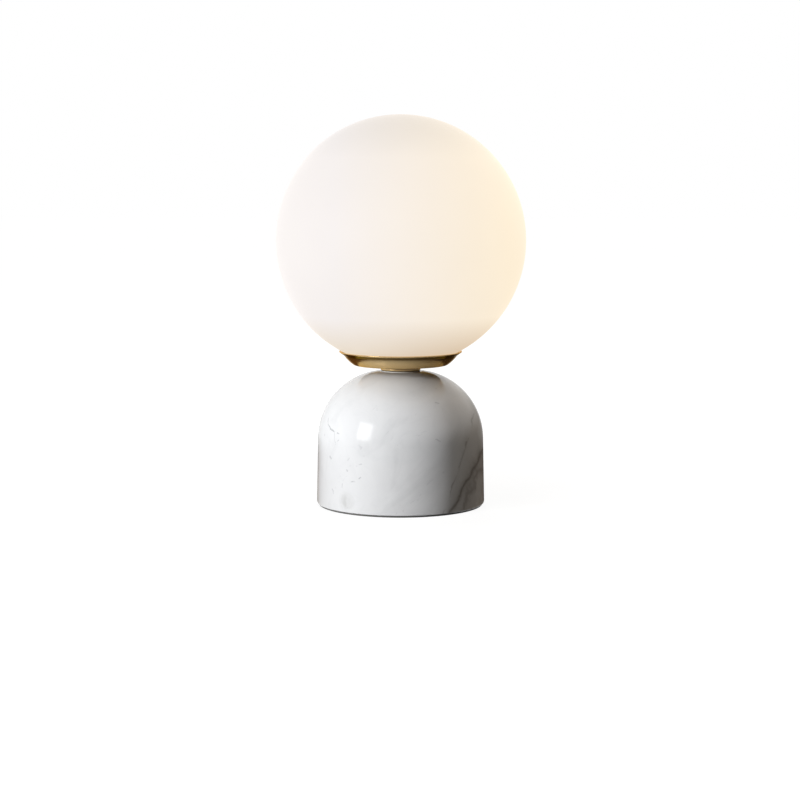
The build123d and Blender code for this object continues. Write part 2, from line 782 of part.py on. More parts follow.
# ---------------------------------------------------------------- ceramic insert, posts and contacts
flange_inner_radius = post_x + post_diameter / 2 + post_gap
with BuildPart() as holder_insert:
    with BuildSketch(Plane.XY.offset(ceramic_z)):
        Circle(holder_bore_radius - running_fit)
        with GridLocations(post_pitch, 1, 2, 1):
            Circle(post_diameter / 2 + running_fit, mode=Mode.SUBTRACT)
    extrude(amount=ceramic_height)
save(holder_insert, "holder_insert")

with BuildPart() as contact_posts:
    with BuildSketch(Plane.XY.offset(ceramic_z)):
        with GridLocations(post_pitch, 1, 2, 1):
            Circle(post_diameter / 2)
    extrude(amount=ceramic_height)
    with BuildSketch(Plane.XY.offset(ceramic_z)):
        with GridLocations(post_pitch, 1, 2, 1):
            Circle(post_bore_diameter / 2)
    extrude(amount=wire_strip_length + running_fit, mode=Mode.SUBTRACT)
save(contact_posts, "contact_posts")

# The centre contact starts flat on the live post and rises to the axis, where the bulb's tip presses on it.
strip_mid_z = ceramic_top_z + contact_thickness / 2
with BuildPart() as centre_contact:
    with BuildSketch(Plane.XZ):
        with BuildLine():
            FilletPolyline(
                (-post_x - post_diameter / 2, strip_mid_z),
                (-post_x + post_diameter / 2, strip_mid_z),
                (-post_diameter / 2, strip_mid_z + contact_rise_height - contact_thickness),
                (post_diameter / 2, strip_mid_z + contact_rise_height - contact_thickness),
                radius=contact_thickness,
            )
        trace(line_width=contact_thickness)
    extrude(amount=contact_width / 2, both=True)
save(centre_contact, "centre_contact")

# The side contact lies on the neutral post and on the flange of the screw sleeve.
with BuildPart() as side_contact:
    with BuildSketch(Plane.XY.offset(ceramic_top_z)):
        with Locations((post_x, 0)):
            Rectangle(post_diameter, contact_width)
    extrude(amount=sleeve_wall + contact_thickness)
    with BuildSketch(Plane.XY.offset(ceramic_top_z + sleeve_wall)):
        with Locations((post_x - post_diameter / 2, 0)):
            Rectangle(
                sleeve_bore_radius - contact_thickness - post_x + post_diameter / 2,
                contact_width,
                align=(Align.MIN, Align.CENTER),
            )
    extrude(amount=contact_thickness)
save(side_contact, "side_contact")

# ---------------------------------------------------------------- screw sleeve and outer shell
# The sleeve is pressed from thin brass with rolled beads. Its flange is trapped between ceramic and shell.
thread_places = [
    (0, 0, bulb_thread_z + (turn + 0.5) * bulb_thread_pitch) for turn in range(bulb_thread_turns)
]
with BuildPart() as holder_sleeve:
    with BuildSketch(Plane.XY.offset(ceramic_top_z)):
        Circle(ledge_radius)
        Circle(flange_inner_radius, mode=Mode.SUBTRACT)
    extrude(amount=sleeve_wall)
    with BuildSketch(Plane.XY.offset(ceramic_top_z)):
        Circle(sleeve_radius)
        Circle(sleeve_bore_radius, mode=Mode.SUBTRACT)
    extrude(amount=sleeve_height)
    with Locations(*thread_places):
        Torus(sleeve_radius, sleeve_bead_radius)
    with BuildSketch(Plane.XY.offset(ceramic_top_z + sleeve_wall)):
        Circle(sleeve_bore_radius)
    extrude(amount=sleeve_height, mode=Mode.SUBTRACT)
save(holder_sleeve, "holder_sleeve")

with BuildPart() as holder_shell:
    with BuildSketch(Plane.XY.offset(cap_top_z)):
        Circle(holder_radius)
    extrude(amount=shell_height)
    fillet(edges().group_by(Axis.Z)[-1], shell_top_round)
    with BuildSketch(Plane.XY.offset(cap_top_z)):
        Circle(holder_bore_radius)
    extrude(amount=ceramic_top_z + sleeve_wall - cap_top_z, mode=Mode.SUBTRACT)
    with BuildSketch(Plane.XY.offset(cap_top_z)):
        Circle(shell_bore_radius)
    extrude(amount=shell_height, mode=Mode.SUBTRACT)
    with BuildSketch(Plane.XY.offset(cap_top_z + shell_flute_margin)):
        with PolarLocations(holder_radius, shell_flute_count):
            Circle(shell_flute_diameter / 2)
    extrude(amount=shell_height - 2 * shell_flute_margin, mode=Mode.SUBTRACT)
save(holder_shell, "holder_shell")

# ---------------------------------------------------------------- bulb: screw cap
tip_radius = bulb_tip_diameter / 2
with BuildPart() as bulb_tip:
    with BuildSketch(Plane.XY.offset(bulb_tip_z)):
        Circle(tip_radius)
    extrude(amount=bulb_tip_height)
    fillet(edges().group_by(Axis.Z)[0], bulb_tip_height / 2)
save(bulb_tip, "bulb_tip")

with BuildPart() as bulb_insulator:
    with BuildSketch(Plane.XY.offset(bulb_insulator_z)):
        Circle(bulb_insulator_foot_diameter / 2)
    with BuildSketch(Plane.XY.offset(bulb_thread_z)):
        Circle(bulb_root_radius)
    loft()
save(bulb_insulator, "bulb_insulator")

with BuildPart() as bulb_cap:
    with BuildSketch(Plane.XY.offset(bulb_thread_z)):
        Circle(bulb_root_radius)
    extrude(amount=bulb_housing_z - bulb_thread_z)
    with Locations(*thread_places):
        Torus(bulb_root_radius, bulb_thread_depth)
    with BuildSketch(Plane.XY.offset(bulb_thread_top_z)):
        Circle(bulb_thread_radius)
    extrude(amount=bulb_cap_skirt_height)
    with BuildSketch(Plane.XY.offset(bulb_thread_z)):
        Circle(bulb_cap_bore_radius)
    extrude(amount=bulb_housing_z - bulb_thread_z, mode=Mode.SUBTRACT)
save(bulb_cap, "bulb_cap")

# ---------------------------------------------------------------- bulb: housing, boards, diffuser
# The housing swells from the screw cap to the diffuser. A spigot under it plugs into the cap.
housing_foot_radius = bulb_thread_radius - running_fit
spigot_radius = bulb_cap_bore_radius - running_fit
board_radius = housing_rim_radius - bulb_housing_wall - running_fit
board_z = bulb_rim_z - led_board_thickness
board_ledge_radius = board_radius - led_board_ledge_width
with BuildPart() as bulb_housing:
    with BuildSketch(Plane.XZ):
        with BuildLine():
            Polyline(
                (spigot_radius - bulb_housing_wall, bulb_housing_z - bulb_spigot_length),
                (spigot_radius, bulb_housing_z - bulb_spigot_length),
                (spigot_radius, bulb_housing_z),
                (housing_foot_radius, bulb_housing_z),
            )
            RadiusArc(
                (housing_foot_radius, bulb_housing_z),
                (housing_rim_radius, bulb_rim_z),
                bulb_housing_side_radius,
            )
            Polyline(
                (housing_rim_radius, bulb_rim_z),
                (board_radius + running_fit, bulb_rim_z),
                (board_radius + running_fit, board_z),
                (board_ledge_radius, board_z),
            )
            Polyline(
                (board_ledge_radius, board_z),
                (board_ledge_radius, board_z - bulb_housing_wall),
                (spigot_radius - bulb_housing_wall, bulb_housing_z),
                (spigot_radius - bulb_housing_wall, bulb_housing_z - bulb_spigot_length),
            )
        make_face()
    revolve(axis=Axis.Z)
save(bulb_housing, "bulb_housing")

with BuildPart() as led_board:
    with BuildSketch(Plane.XY.offset(board_z)):
        Circle(board_radius)
    extrude(amount=led_board_thickness)
save(led_board, "led_board")

with BuildPart() as led_chips:
    with BuildSketch(Plane.XY.offset(bulb_rim_z)):
        with PolarLocations(board_radius - led_inset, led_count):
            Rectangle(led_width, led_width)
    extrude(amount=led_height)
save(led_chips, "led_chips")

with BuildPart() as driver_board:
    with BuildSketch(Plane.XY.offset(board_z)):
        Rectangle(driver_width, driver_thickness)
    extrude(amount=-driver_height)
save(driver_board, "driver_board")

bulb_ball_z = bulb_rim_z + sqrt(bulb_radius**2 - housing_rim_radius**2)
with BuildPart() as bulb_diffuser:
    with Locations((0, 0, bulb_ball_z)):
        Sphere(bulb_radius)
        Sphere(bulb_radius - diffuser_wall, mode=Mode.SUBTRACT)
    split(bisect_by=Plane.XY.offset(bulb_rim_z), keep=Keep.TOP)
save(bulb_diffuser, "bulb_diffuser")
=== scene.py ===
# %% [markdown]
# # A glass globe table lamp
#
# The lamp is an opal glass ball, seated in a shallow brass dish, on a domed marble foot. The engineering model
# already holds every piece at its real size and place. Here it gets its looks: the pieces that show are turned
# again as smooth meshes, and every surface gets a finish worked out by nodes, so nothing needs an image.
#
# We load the engineering model first. It is the frame that every new piece has to fit, and nothing in it may move.

import json
from math import acos, asin, atan2, cos, degrees, pi, radians, sin, sqrt, tan

import bpy
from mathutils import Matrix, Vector


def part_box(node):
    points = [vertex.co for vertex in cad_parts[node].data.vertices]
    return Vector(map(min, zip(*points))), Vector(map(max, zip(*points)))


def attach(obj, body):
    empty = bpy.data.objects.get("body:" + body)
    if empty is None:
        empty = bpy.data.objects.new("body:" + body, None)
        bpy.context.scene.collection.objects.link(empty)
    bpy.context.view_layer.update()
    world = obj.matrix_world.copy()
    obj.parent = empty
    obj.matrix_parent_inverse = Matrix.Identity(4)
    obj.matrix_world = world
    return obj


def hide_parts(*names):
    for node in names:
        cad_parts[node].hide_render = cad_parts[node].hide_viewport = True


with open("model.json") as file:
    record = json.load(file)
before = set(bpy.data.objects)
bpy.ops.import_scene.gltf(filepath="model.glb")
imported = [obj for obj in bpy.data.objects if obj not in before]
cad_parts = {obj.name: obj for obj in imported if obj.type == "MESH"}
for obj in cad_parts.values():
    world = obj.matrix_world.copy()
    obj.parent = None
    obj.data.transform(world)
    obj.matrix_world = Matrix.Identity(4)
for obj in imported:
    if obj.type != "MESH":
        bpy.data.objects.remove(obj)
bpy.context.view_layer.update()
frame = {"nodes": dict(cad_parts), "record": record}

# %% [markdown]
# ## The camera
#
# The camera comes first, because it decides what has to be right. It stands at the front, about a metre and a
# half away and a little above the dish, and looks slightly down: the dish then shows as a thin brass ellipse and
# the foot's lower edge as a shallow curve. A long lens keeps the ball round.

# %% Camera
camera_distance = 1.464
camera_height = 0.2575
camera_sideways = -0.0005
camera_tilt = 0.1178
lens_length = 82.26
sensor_width = 36.0

camera_data = bpy.data.cameras.new("camera")
camera_data.lens = lens_length
camera_data.sensor_width = sensor_width
camera = bpy.data.objects.new("camera", camera_data)
camera.location = (camera_sideways, -camera_distance, camera_height)
camera.rotation_euler = (pi / 2 - camera_tilt, 0, 0)
bpy.context.scene.collection.objects.link(camera)
bpy.context.scene.camera = camera
bpy.context.scene.view_settings.view_transform = "Standard"
print("camera stands", camera_distance, "m from the lamp's axis")

# %% [markdown]
# ## Sizes that the looks need
#
# A piece that is modelled again here has to land exactly on the piece it stands for.

# %% Sizes from the frame
globe_low, globe_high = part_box("glass_globe")
globe_radius = (globe_high.x - globe_low.x) / 2
globe_centre = globe_high.z - globe_radius
globe_wall = 0.003

dish_low, dish_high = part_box("dish")
dish_rim_radius = dish_high.x
dish_wall = 0.0012

marble_low, marble_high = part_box("marble_base")
foot_radius = marble_high.x

collar_low, collar_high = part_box("neck_collar")
collar_radius = collar_high.x

pad_low, pad_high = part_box("base_pad")
pad_radius = pad_high.x

bulb_low, bulb_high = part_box("bulb_diffuser")
print("globe centre at", round(globe_centre * 1000, 2), "mm, foot radius", round(foot_radius * 1000, 2), "mm")

# %% [markdown]
# ## Node helpers
#
# A finish is a small graph of nodes. These helpers keep each graph short to read: one starts a material with its
# Principled BSDF, one adds any node and fills its sockets, and the rest each add one common node and return what
# comes out of it. Patterns read Object coordinates, which are metres in the lamp's own space, so a pattern keeps
# its real scale on every piece.


# %% Node helpers
def start_material(name, colour, roughness, metallic=0.0):
    """A material with a Principled BSDF. Returns the material, its node tree and the BSDF node."""
    material = bpy.data.materials.new(name)
    material.use_nodes = True
    tree = material.node_tree
    bsdf = tree.nodes["Principled BSDF"]
    bsdf.inputs["Base Color"].default_value = (*colour, 1.0)
    bsdf.inputs["Roughness"].default_value = roughness
    bsdf.inputs["Metallic"].default_value = metallic
    material.diffuse_color = (*colour, 1.0)
    return material, tree, bsdf


def add_node(tree, kind, settings=None, **sockets):
    """Adds a node of a kind, sets its properties, and fills its sockets by name with values or other sockets."""
    node = tree.nodes.new(kind)
    for key, value in (settings or {}).items():
        setattr(node, key, value)
    for key, value in sockets.items():
        socket = find_socket(node, key)
        if isinstance(value, bpy.types.NodeSocket):
            tree.links.new(value, socket)
        else:
            socket.default_value = value
    return node


def find_socket(node, key):
    """A node's input by its name, written with underscores for spaces, or by its place, as in _0."""
    if key[1:].isdigit():
        return node.inputs[int(key[1:])]
    return node.inputs[key.replace("_", " ")]


def object_space(tree):
    return add_node(tree, "ShaderNodeTexCoord").outputs["Object"]


def axis_of(tree, space, axis):
    """The X, Y or Z of a position."""
    return add_node(tree, "ShaderNodeSeparateXYZ", Vector=space).outputs[axis]


def stretched(tree, space, rotation, length):
    """A space in which patterns come out longer along one turned direction."""
    settings = {"vector_type": "TEXTURE"}
    node = add_node(
        tree, "ShaderNodeMapping", settings, Vector=space, Rotation=rotation, Scale=(length, 1.0, 1.0)
    )
    return node.outputs["Vector"]


def maths(tree, operation, first, second=0.0):
    """The result of a Math node."""
    return add_node(tree, "ShaderNodeMath", {"operation": operation}, _0=first, _1=second).outputs[0]


def vector_maths(tree, operation, first, second=(0.0, 0.0, 0.0), output="Vector"):
    """The result of a Vector Math node. Lengths, distances and dot products come out of Value."""
    node = add_node(tree, "ShaderNodeVectorMath", {"operation": operation}, _0=first, _1=second)
    return node.outputs[output]


def times(tree, vector, factor):
    """A vector or colour multiplied by a number."""
    return add_node(tree, "ShaderNodeVectorMath", {"operation": "SCALE"}, _0=vector, Scale=factor).outputs[0]


def blend_colours(tree, factor, first, second):
    """Mixes two colours, each a tuple or a socket."""
    node = add_node(tree, "ShaderNodeMix", {"data_type": "RGBA"})
    for index, value in ((0, factor), (6, first), (7, second)):
        if isinstance(value, bpy.types.NodeSocket):
            tree.links.new(value, node.inputs[index])
        elif index == 0:
            node.inputs[index].default_value = value
        else:
            node.inputs[index].default_value = (*value, 1.0)
    return node.outputs[2]


def remap(tree, value, low, high, new_low=0.0, new_high=1.0):
    """Stretches a value from one range to another, clamped at both ends."""
    node = add_node(tree, "ShaderNodeMapRange", {"clamp": True})
    tree.links.new(value, node.inputs[0])
    for index, number in enumerate((low, high, new_low, new_high), start=1):
        node.inputs[index].default_value = number
    return node.outputs[0]


def noise(tree, space, scale, detail=4.0, roughness=0.55, distortion=0.0):
    node = add_node(
        tree, "ShaderNodeTexNoise", Vector=space, Scale=scale, Detail=detail, Roughness=roughness,
        Distortion=distortion,
    )
    return node.outputs["Fac"]


def bump(tree, height, distance, strength=1.0):
    node = add_node(tree, "ShaderNodeBump", Strength=strength, Distance=distance, Height=height)
    return node.outputs["Normal"]


print("node helpers ready")

# %% [markdown]
# ## Shared effects
#
# Some things happen to many surfaces: fine grain, soft mottling, a vein, the rings of a lathe. Each is a node
# group with named sockets, made once and placed in every material that needs it, with its own values.


# %% Shared effect groups
socket_kinds = {"number": "NodeSocketFloat", "vector": "NodeSocketVector", "colour": "NodeSocketColor"}


def start_group(name, inputs, outputs):
    """An empty shader node group. Inputs have a kind and a default by name. Returns the group and its two ends."""
    group = bpy.data.node_groups.new(name, "ShaderNodeTree")
    for kind, sockets in inputs.items():
        for socket_name, default in sockets.items():
            socket = group.interface.new_socket(socket_name, in_out="INPUT", socket_type=socket_kinds[kind])
            socket.default_value = default
    for socket_name, kind in outputs.items():
        group.interface.new_socket(socket_name, in_out="OUTPUT", socket_type=socket_kinds[kind])
    return group, group.nodes.new("NodeGroupInput"), group.nodes.new("NodeGroupOutput")


def place_group(tree, group, **values):
    """Places a group in a material's tree and fills its sockets."""
    return add_node(tree, "ShaderNodeGroup", {"node_tree": group}, **values)


mottle, mottle_in, mottle_out = start_group(
    "mottled_surface",
    {
        "colour": {"Colour": (0.5, 0.5, 0.5, 1.0)},
        "number": {
            "Patch size": 60.0, "Depth": 0.08, "Roughness": 0.4, "Roughness spread": 0.08, "Grain size": 900.0,
            "Grain height": 0.00002,
        },
    },
    {"Colour": "colour", "Roughness": "number", "Normal": "vector"},
)
mottle_space = object_space(mottle)
broad = noise(mottle, mottle_space, mottle_in.outputs["Patch size"])
fine = noise(mottle, mottle_space, mottle_in.outputs["Grain size"], detail=6.0)
swing = maths(mottle, "MULTIPLY", maths(mottle, "SUBTRACT", broad, 0.5), mottle_in.outputs["Depth"])
level = maths(mottle, "ADD", 1.0, maths(mottle, "MULTIPLY", swing, 2.0))
mottle.links.new(times(mottle, mottle_in.outputs["Colour"], level), mottle_out.inputs["Colour"])
spread = maths(mottle, "MULTIPLY", maths(mottle, "SUBTRACT", fine, 0.5), mottle_in.outputs["Roughness spread"])
mottle.links.new(maths(mottle, "ADD", mottle_in.outputs["Roughness"], spread), mottle_out.inputs["Roughness"])
mottle.links.new(bump(mottle, fine, mottle_in.outputs["Grain height"]), mottle_out.inputs["Normal"])
print("effect groups:", mottle.name)

# %% [markdown]
# A vein in marble is a thin sheet that runs right through the block, so on the surface it shows as a line that
# can be followed round the foot. The group below measures how far a point lies from such a sheet. Noise makes
# the sheet wander, and a second noise breaks it up, so that the line fades and comes back.

# %% Vein group
vein, vein_in, vein_out = start_group(
    "vein_sheet",
    {
        "vector": {"Facing": (1.0, 0.0, 0.0)},
        "number": {
            "Distance": 0.0, "Width": 0.001, "Wander": 0.01, "Wander size": 20.0, "Gaps": 0.4, "Gap size": 30.0,
        },
    },
    {"Mask": "number"},
)
vein_space = object_space(vein)
along = vector_maths(vein, "DOT_PRODUCT", vein_space, vein_in.outputs["Facing"], "Value")
wobble = maths(vein, "SUBTRACT", noise(vein, vein_space, vein_in.outputs["Wander size"], detail=7.0), 0.5)
wobble = maths(vein, "MULTIPLY", wobble, vein_in.outputs["Wander"])
offset = maths(vein, "SUBTRACT", maths(vein, "ADD", along, wobble), vein_in.outputs["Distance"])
nearness = maths(vein, "DIVIDE", maths(vein, "ABSOLUTE", offset), vein_in.outputs["Width"])
line = maths(vein, "DIVIDE", 1.0, maths(vein, "ADD", 1.0, maths(vein, "MULTIPLY", nearness, nearness)))
breaks = noise(vein, vein_space, vein_in.outputs["Gap size"], detail=5.0)
kept = remap(vein, maths(vein, "SUBTRACT", breaks, vein_in.outputs["Gaps"]), 0.0, 0.15)
vein.links.new(maths(vein, "MULTIPLY", line, kept), vein_out.inputs["Mask"])
print("effect groups:", vein.name)

# %% [markdown]
# Some marks in marble are only a few millimetres long: the end of a vein, or a grain of another mineral. The next
# group draws one such stroke. It measures how far a point lies from a straight run between two places, after a
# noise has pushed the point a little to one side, so that the run comes out crooked.

# %% Stroke group
stroke, stroke_in, stroke_out = start_group(
    "short_stroke",
    {
        "vector": {"From": (0.0, 0.0, 0.0), "To": (0.0, 0.0, 0.01)},
        "number": {"Width": 0.0005, "Wander": 0.002},
    },
    {"Mask": "number"},
)
stroke_space = object_space(stroke)
push = add_node(stroke, "ShaderNodeTexNoise", Vector=stroke_space, Scale=260.0, Detail=4.0).outputs["Color"]
push = times(stroke, vector_maths(stroke, "SUBTRACT", push, (0.5, 0.5, 0.5)), stroke_in.outputs["Wander"])
pushed = vector_maths(stroke, "ADD", stroke_space, push)
from_start = vector_maths(stroke, "SUBTRACT", pushed, stroke_in.outputs["From"])
run = vector_maths(stroke, "SUBTRACT", stroke_in.outputs["To"], stroke_in.outputs["From"])
share = maths(
    stroke, "DIVIDE", vector_maths(stroke, "DOT_PRODUCT", from_start, run, "Value"),
    vector_maths(stroke, "DOT_PRODUCT", run, run, "Value"),
)
nearest = times(stroke, run, remap(stroke, share, 0.0, 1.0))
aside = vector_maths(stroke, "DISTANCE", from_start, nearest, "Value")
across_stroke = maths(stroke, "DIVIDE", aside, stroke_in.outputs["Width"])
stroke.links.new(remap(stroke, across_stroke, 0.2, 1.3, 1.0, 0.0), stroke_out.inputs["Mask"])
print("effect groups:", stroke.name)

# %% [markdown]
# Turned metal carries the fine rings that the lathe leaves. They run round the axis, so the group below looks only
# at a point's distance from the axis and its height, never at its angle. A noise on those two numbers makes rings
# of uneven strength, as a real tool does, and tilts the surface by a few thousandths of a millimetre.

# %% Turned marks group
turning, turning_in, turning_out = start_group(
    "turned_marks",
    {"number": {"Ring size": 2500.0, "Height": 0.000004, "Roughness": 0.18, "Roughness spread": 0.1}},
    {"Roughness": "number", "Normal": "vector"},
)
turning_axes = add_node(turning, "ShaderNodeSeparateXYZ", Vector=object_space(turning))
across = add_node(turning, "ShaderNodeCombineXYZ", X=turning_axes.outputs["X"], Y=turning_axes.outputs["Y"])
reach = vector_maths(turning, "LENGTH", across.outputs[0], output="Value")
ring_place = add_node(turning, "ShaderNodeCombineXYZ", X=reach, Z=turning_axes.outputs["Z"]).outputs[0]
rings = noise(turning, ring_place, turning_in.outputs["Ring size"], detail=5.0, roughness=0.7)
spread = maths(turning, "MULTIPLY", maths(turning, "SUBTRACT", rings, 0.5), turning_in.outputs["Roughness spread"])
turning.links.new(maths(turning, "ADD", turning_in.outputs["Roughness"], spread), turning_out.inputs["Roughness"])
turning.links.new(bump(turning, rings, turning_in.outputs["Height"]), turning_out.inputs["Normal"])
print("effect groups:", turning.name)

# %% [markdown]
# ## Marble
#
# The foot is white marble, ground and polished. Three things make it marble and not porcelain: broad soft clouds
# of grey, veins that run through the stone as sheets, and a scatter of short dark flecks. All of them are worked
# out in the stone's own space, so a vein that leaves the front comes round the side, as in a real block. Two more
# sheets show at the back alone.

# %% Marble clouds and veins
marble, tree, bsdf = start_material("marble", (0.84, 0.84, 0.84), 0.1)
space = object_space(tree)
clouds = remap(tree, noise(tree, space, 17.0, detail=6.0, distortion=0.9), 0.34, 0.7)
stone = blend_colours(tree, clouds, (0.8, 0.8, 0.805), (0.865, 0.865, 0.87))
veil = remap(tree, noise(tree, space, 60.0, detail=7.0, roughness=0.65, distortion=1.4), 0.5, 0.78)
stone = blend_colours(tree, maths(tree, "MULTIPLY", veil, 0.16), stone, (0.6, 0.61, 0.62))
leaning = stretched(tree, space, (0.0, -0.9, 0.2), 3.2)
drift = remap(tree, noise(tree, leaning, 46.0, detail=6.0, distortion=0.7), 0.52, 0.74)
stone = blend_colours(tree, maths(tree, "MULTIPLY", drift, 0.4), stone, (0.64, 0.645, 0.65))

# Each sheet: facing, distance, width, wander, wander size, gaps, gap size, strength
sheets = [
    ((-0.865, 0.033, 0.501), -0.0343, 0.0013, 0.009, 60.0, 0.27, 30.0, 0.7),
    ((-0.865, 0.033, 0.501), -0.0343, 0.0045, 0.012, 40.0, 0.3, 24.0, 0.24),
    ((-0.917, 0.32, 0.24), -0.0582, 0.0012, 0.012, 50.0, 0.34, 30.0, 0.5),
    ((0.929, 0.086, -0.361), 0.0253, 0.0006, 0.011, 50.0, 0.44, 50.0, 0.45),
]
back_sheets = [
    ((0.2, 0.75, -0.63), 0.02, 0.0008, 0.014, 30.0, 0.42, 28.0, 0.5),
    ((-0.35, 0.66, -0.66), 0.011, 0.0006, 0.016, 30.0, 0.44, 32.0, 0.4),
]
vein_tone = (0.2, 0.18, 0.165)
behind = remap(tree, axis_of(tree, space, "Y"), -0.02, 0.01)
vein_sockets = ("Facing", "Distance", "Width", "Wander", "Wander size", "Gaps", "Gap size")
for sheet in sheets + back_sheets:
    *values, strength = sheet
    mask = place_group(tree, vein, **dict(zip(vein_sockets, values))).outputs["Mask"]
    if sheet in back_sheets:
        mask = maths(tree, "MULTIPLY", mask, behind)
    stone = blend_colours(tree, maths(tree, "MULTIPLY", mask, strength), stone, vein_tone)
print("marble veins:", len(sheets + back_sheets), "sheets")

# %% [markdown]
# The flecks are where the veins nearly close up. They come in little groups with clean stone between, so a coarse
# noise says where a group may be, and a fine noise, stretched along one slanting direction, draws its dashes. Those
# that catch the eye are placed one by one as strokes: a thin squiggle high up on the left, made of four, and the
# dashes below it. A pale grey patch near the table is a mask that fades with distance from one point.

# %% Marble flecks
slant = stretched(tree, space, (0.2, -0.7, 0.35), 2.4)
dashes = remap(tree, noise(tree, slant, 300.0, detail=3.0, roughness=0.5), 0.66, 0.74)
groups = remap(tree, noise(tree, space, 26.0, detail=3.0), 0.5, 0.62)
flecks = maths(tree, "MULTIPLY", maths(tree, "MULTIPLY", dashes, groups), 0.3)
stone = blend_colours(tree, flecks, stone, (0.33, 0.33, 0.34))

# Each stroke: from, to, width, strength
strokes = [
    ((-0.0575, -0.026, 0.0728), (-0.0573, -0.0299, 0.068), 0.00045, 0.52),
    ((-0.0573, -0.0299, 0.068), (-0.0552, -0.0349, 0.0652), 0.0005, 0.65),
    ((-0.0552, -0.0349, 0.0652), (-0.0482, -0.0447, 0.063), 0.0005, 0.65),
    ((-0.0522, -0.0399, 0.0635), (-0.051, -0.0429, 0.0538), 0.0004, 0.39),
    ((-0.0487, -0.0452, 0.0578), (-0.0495, -0.0443, 0.0566), 0.0005, 0.65),
    ((-0.0557, -0.0369, 0.0434), (-0.0545, -0.0387, 0.042), 0.0007, 0.39),
    ((-0.0343, -0.0575, 0.0396), (-0.0304, -0.0596, 0.0412), 0.0005, 0.455),
    ((-0.0429, -0.0515, 0.036), (-0.0415, -0.0527, 0.0346), 0.0005, 0.455),
    ((-0.0314, -0.0593, 0.0305), (-0.0325, -0.0587, 0.0292), 0.0006, 0.52),
    ((-0.0385, -0.0551, 0.0262), (-0.0361, -0.0567, 0.0272), 0.0006, 0.455),
    ((-0.0459, -0.0492, 0.0238), (-0.0456, -0.0495, 0.0216), 0.0005, 0.39),
    ((-0.0538, -0.0406, 0.0182), (-0.0528, -0.042, 0.0147), 0.0005, 0.39),
    ((-0.0604, -0.0273, 0.0603), (-0.06, -0.0283, 0.0588), 0.0006, 0.39),
    ((-0.0325, -0.0583, 0.0553), (-0.0308, -0.0592, 0.0538), 0.0011, 0.182),
    ((0.0275, -0.0474, 0.0876), (0.0296, -0.046, 0.0868), 0.0007, 0.39),
    ((0.0272, -0.0604, 0.0602), (0.0302, -0.0589, 0.0588), 0.0007, 0.39),
]
stroke_tone = (0.3, 0.3, 0.32)
stroke_wander = 0.0035
for start, end, width, strength in strokes:
    mask = place_group(tree, stroke, From=start, To=end, Width=width, Wander=stroke_wander).outputs["Mask"]
    stone = blend_colours(tree, maths(tree, "MULTIPLY", mask, strength), stone, stroke_tone)

patch_middle = (-0.0425, -0.0525, 0.01)
from_patch = vector_maths(tree, "DISTANCE", space, patch_middle, "Value")
patch = remap(tree, from_patch, 0.003, 0.009, 1.0, 0.0)
patch = maths(tree, "MULTIPLY", patch, remap(tree, veil, 0.0, 0.4, 0.5, 1.0))
stone = blend_colours(tree, maths(tree, "MULTIPLY", patch, 0.75), stone, (0.62, 0.62, 0.61))
tree.links.new(stone, bsdf.inputs["Base Color"])
polish = remap(tree, noise(tree, space, 90.0, detail=4.0), 0.3, 0.7, 0.07, 0.13)
tree.links.new(polish, bsdf.inputs["Roughness"])
print("marble nodes:", len(tree.nodes))

# %% [markdown]
# ## Opal glass
#
# Opal glass is clear glass with a thin white layer in it. Light from the bulb is scattered so well that the ball
# itself seems to shine, so here it has its own soft emission over a satin surface. The glow is a warm white, with
# light and shade painted into it. It is paler on the side that the daylight reaches, has a painted shade near the
# mouth, where the dish shades it, and is a little darker at the top.
# In a room lit by day the glow hardly reaches the stone, so Light Path halves it for rays that leave a matt
# surface. The surface is etched, and a low IOR keeps its edge from mirroring the window so brightly that the
# outline would be lost against white.

# %% Opal glass
opal, tree, bsdf = start_material("opal_glass", (0.08, 0.08, 0.08), 0.42)
space = object_space(tree)
axes = add_node(tree, "ShaderNodeSeparateXYZ", Vector=space)
# Painted light and shade in the glow: paler on the daylit left, darker near the mouth.
daylit = remap(tree, axes.outputs["X"], -0.05, 0.085, 1.0, 0.0)
glow = blend_colours(tree, daylit, (0.98, 0.85, 0.66), (0.84, 0.795, 0.775))
above_mouth = maths(tree, "SUBTRACT", axes.outputs["Z"], globe_centre - globe_radius)
shaded = remap(tree, above_mouth, 0.004, 0.042, 1.0, 0.0)
shade = blend_colours(tree, daylit, (0.56, 0.385, 0.225), (0.74, 0.635, 0.49))
glow = blend_colours(tree, shaded, glow, shade)
# Painted shade: the top of the ball glows a little less.
high = remap(tree, above_mouth, 0.165, 0.2, 1.0, 0.86)
haze = remap(tree, noise(tree, space, 9.0, detail=3.0), 0.3, 0.7, 0.985, 1.015)
level = maths(tree, "MULTIPLY", high, haze)
on_stone = add_node(tree, "ShaderNodeLightPath").outputs["Is Diffuse Ray"]
level = maths(tree, "MULTIPLY", level, remap(tree, on_stone, 0.0, 1.0, 1.0, 0.5))
tree.links.new(times(tree, glow, level), bsdf.inputs["Emission Color"])
bsdf.inputs["Emission Strength"].default_value = 1.0
bsdf.inputs["IOR"].default_value = 1.13
satin = remap(tree, noise(tree, space, 240.0, detail=5.0), 0.3, 0.7, 0.38, 0.46)
tree.links.new(satin, bsdf.inputs["Roughness"])
tree.links.new(bump(tree, noise(tree, space, 700.0), 0.00001, 0.3), bsdf.inputs["Normal"])
print("opal glass nodes:", len(tree.nodes))
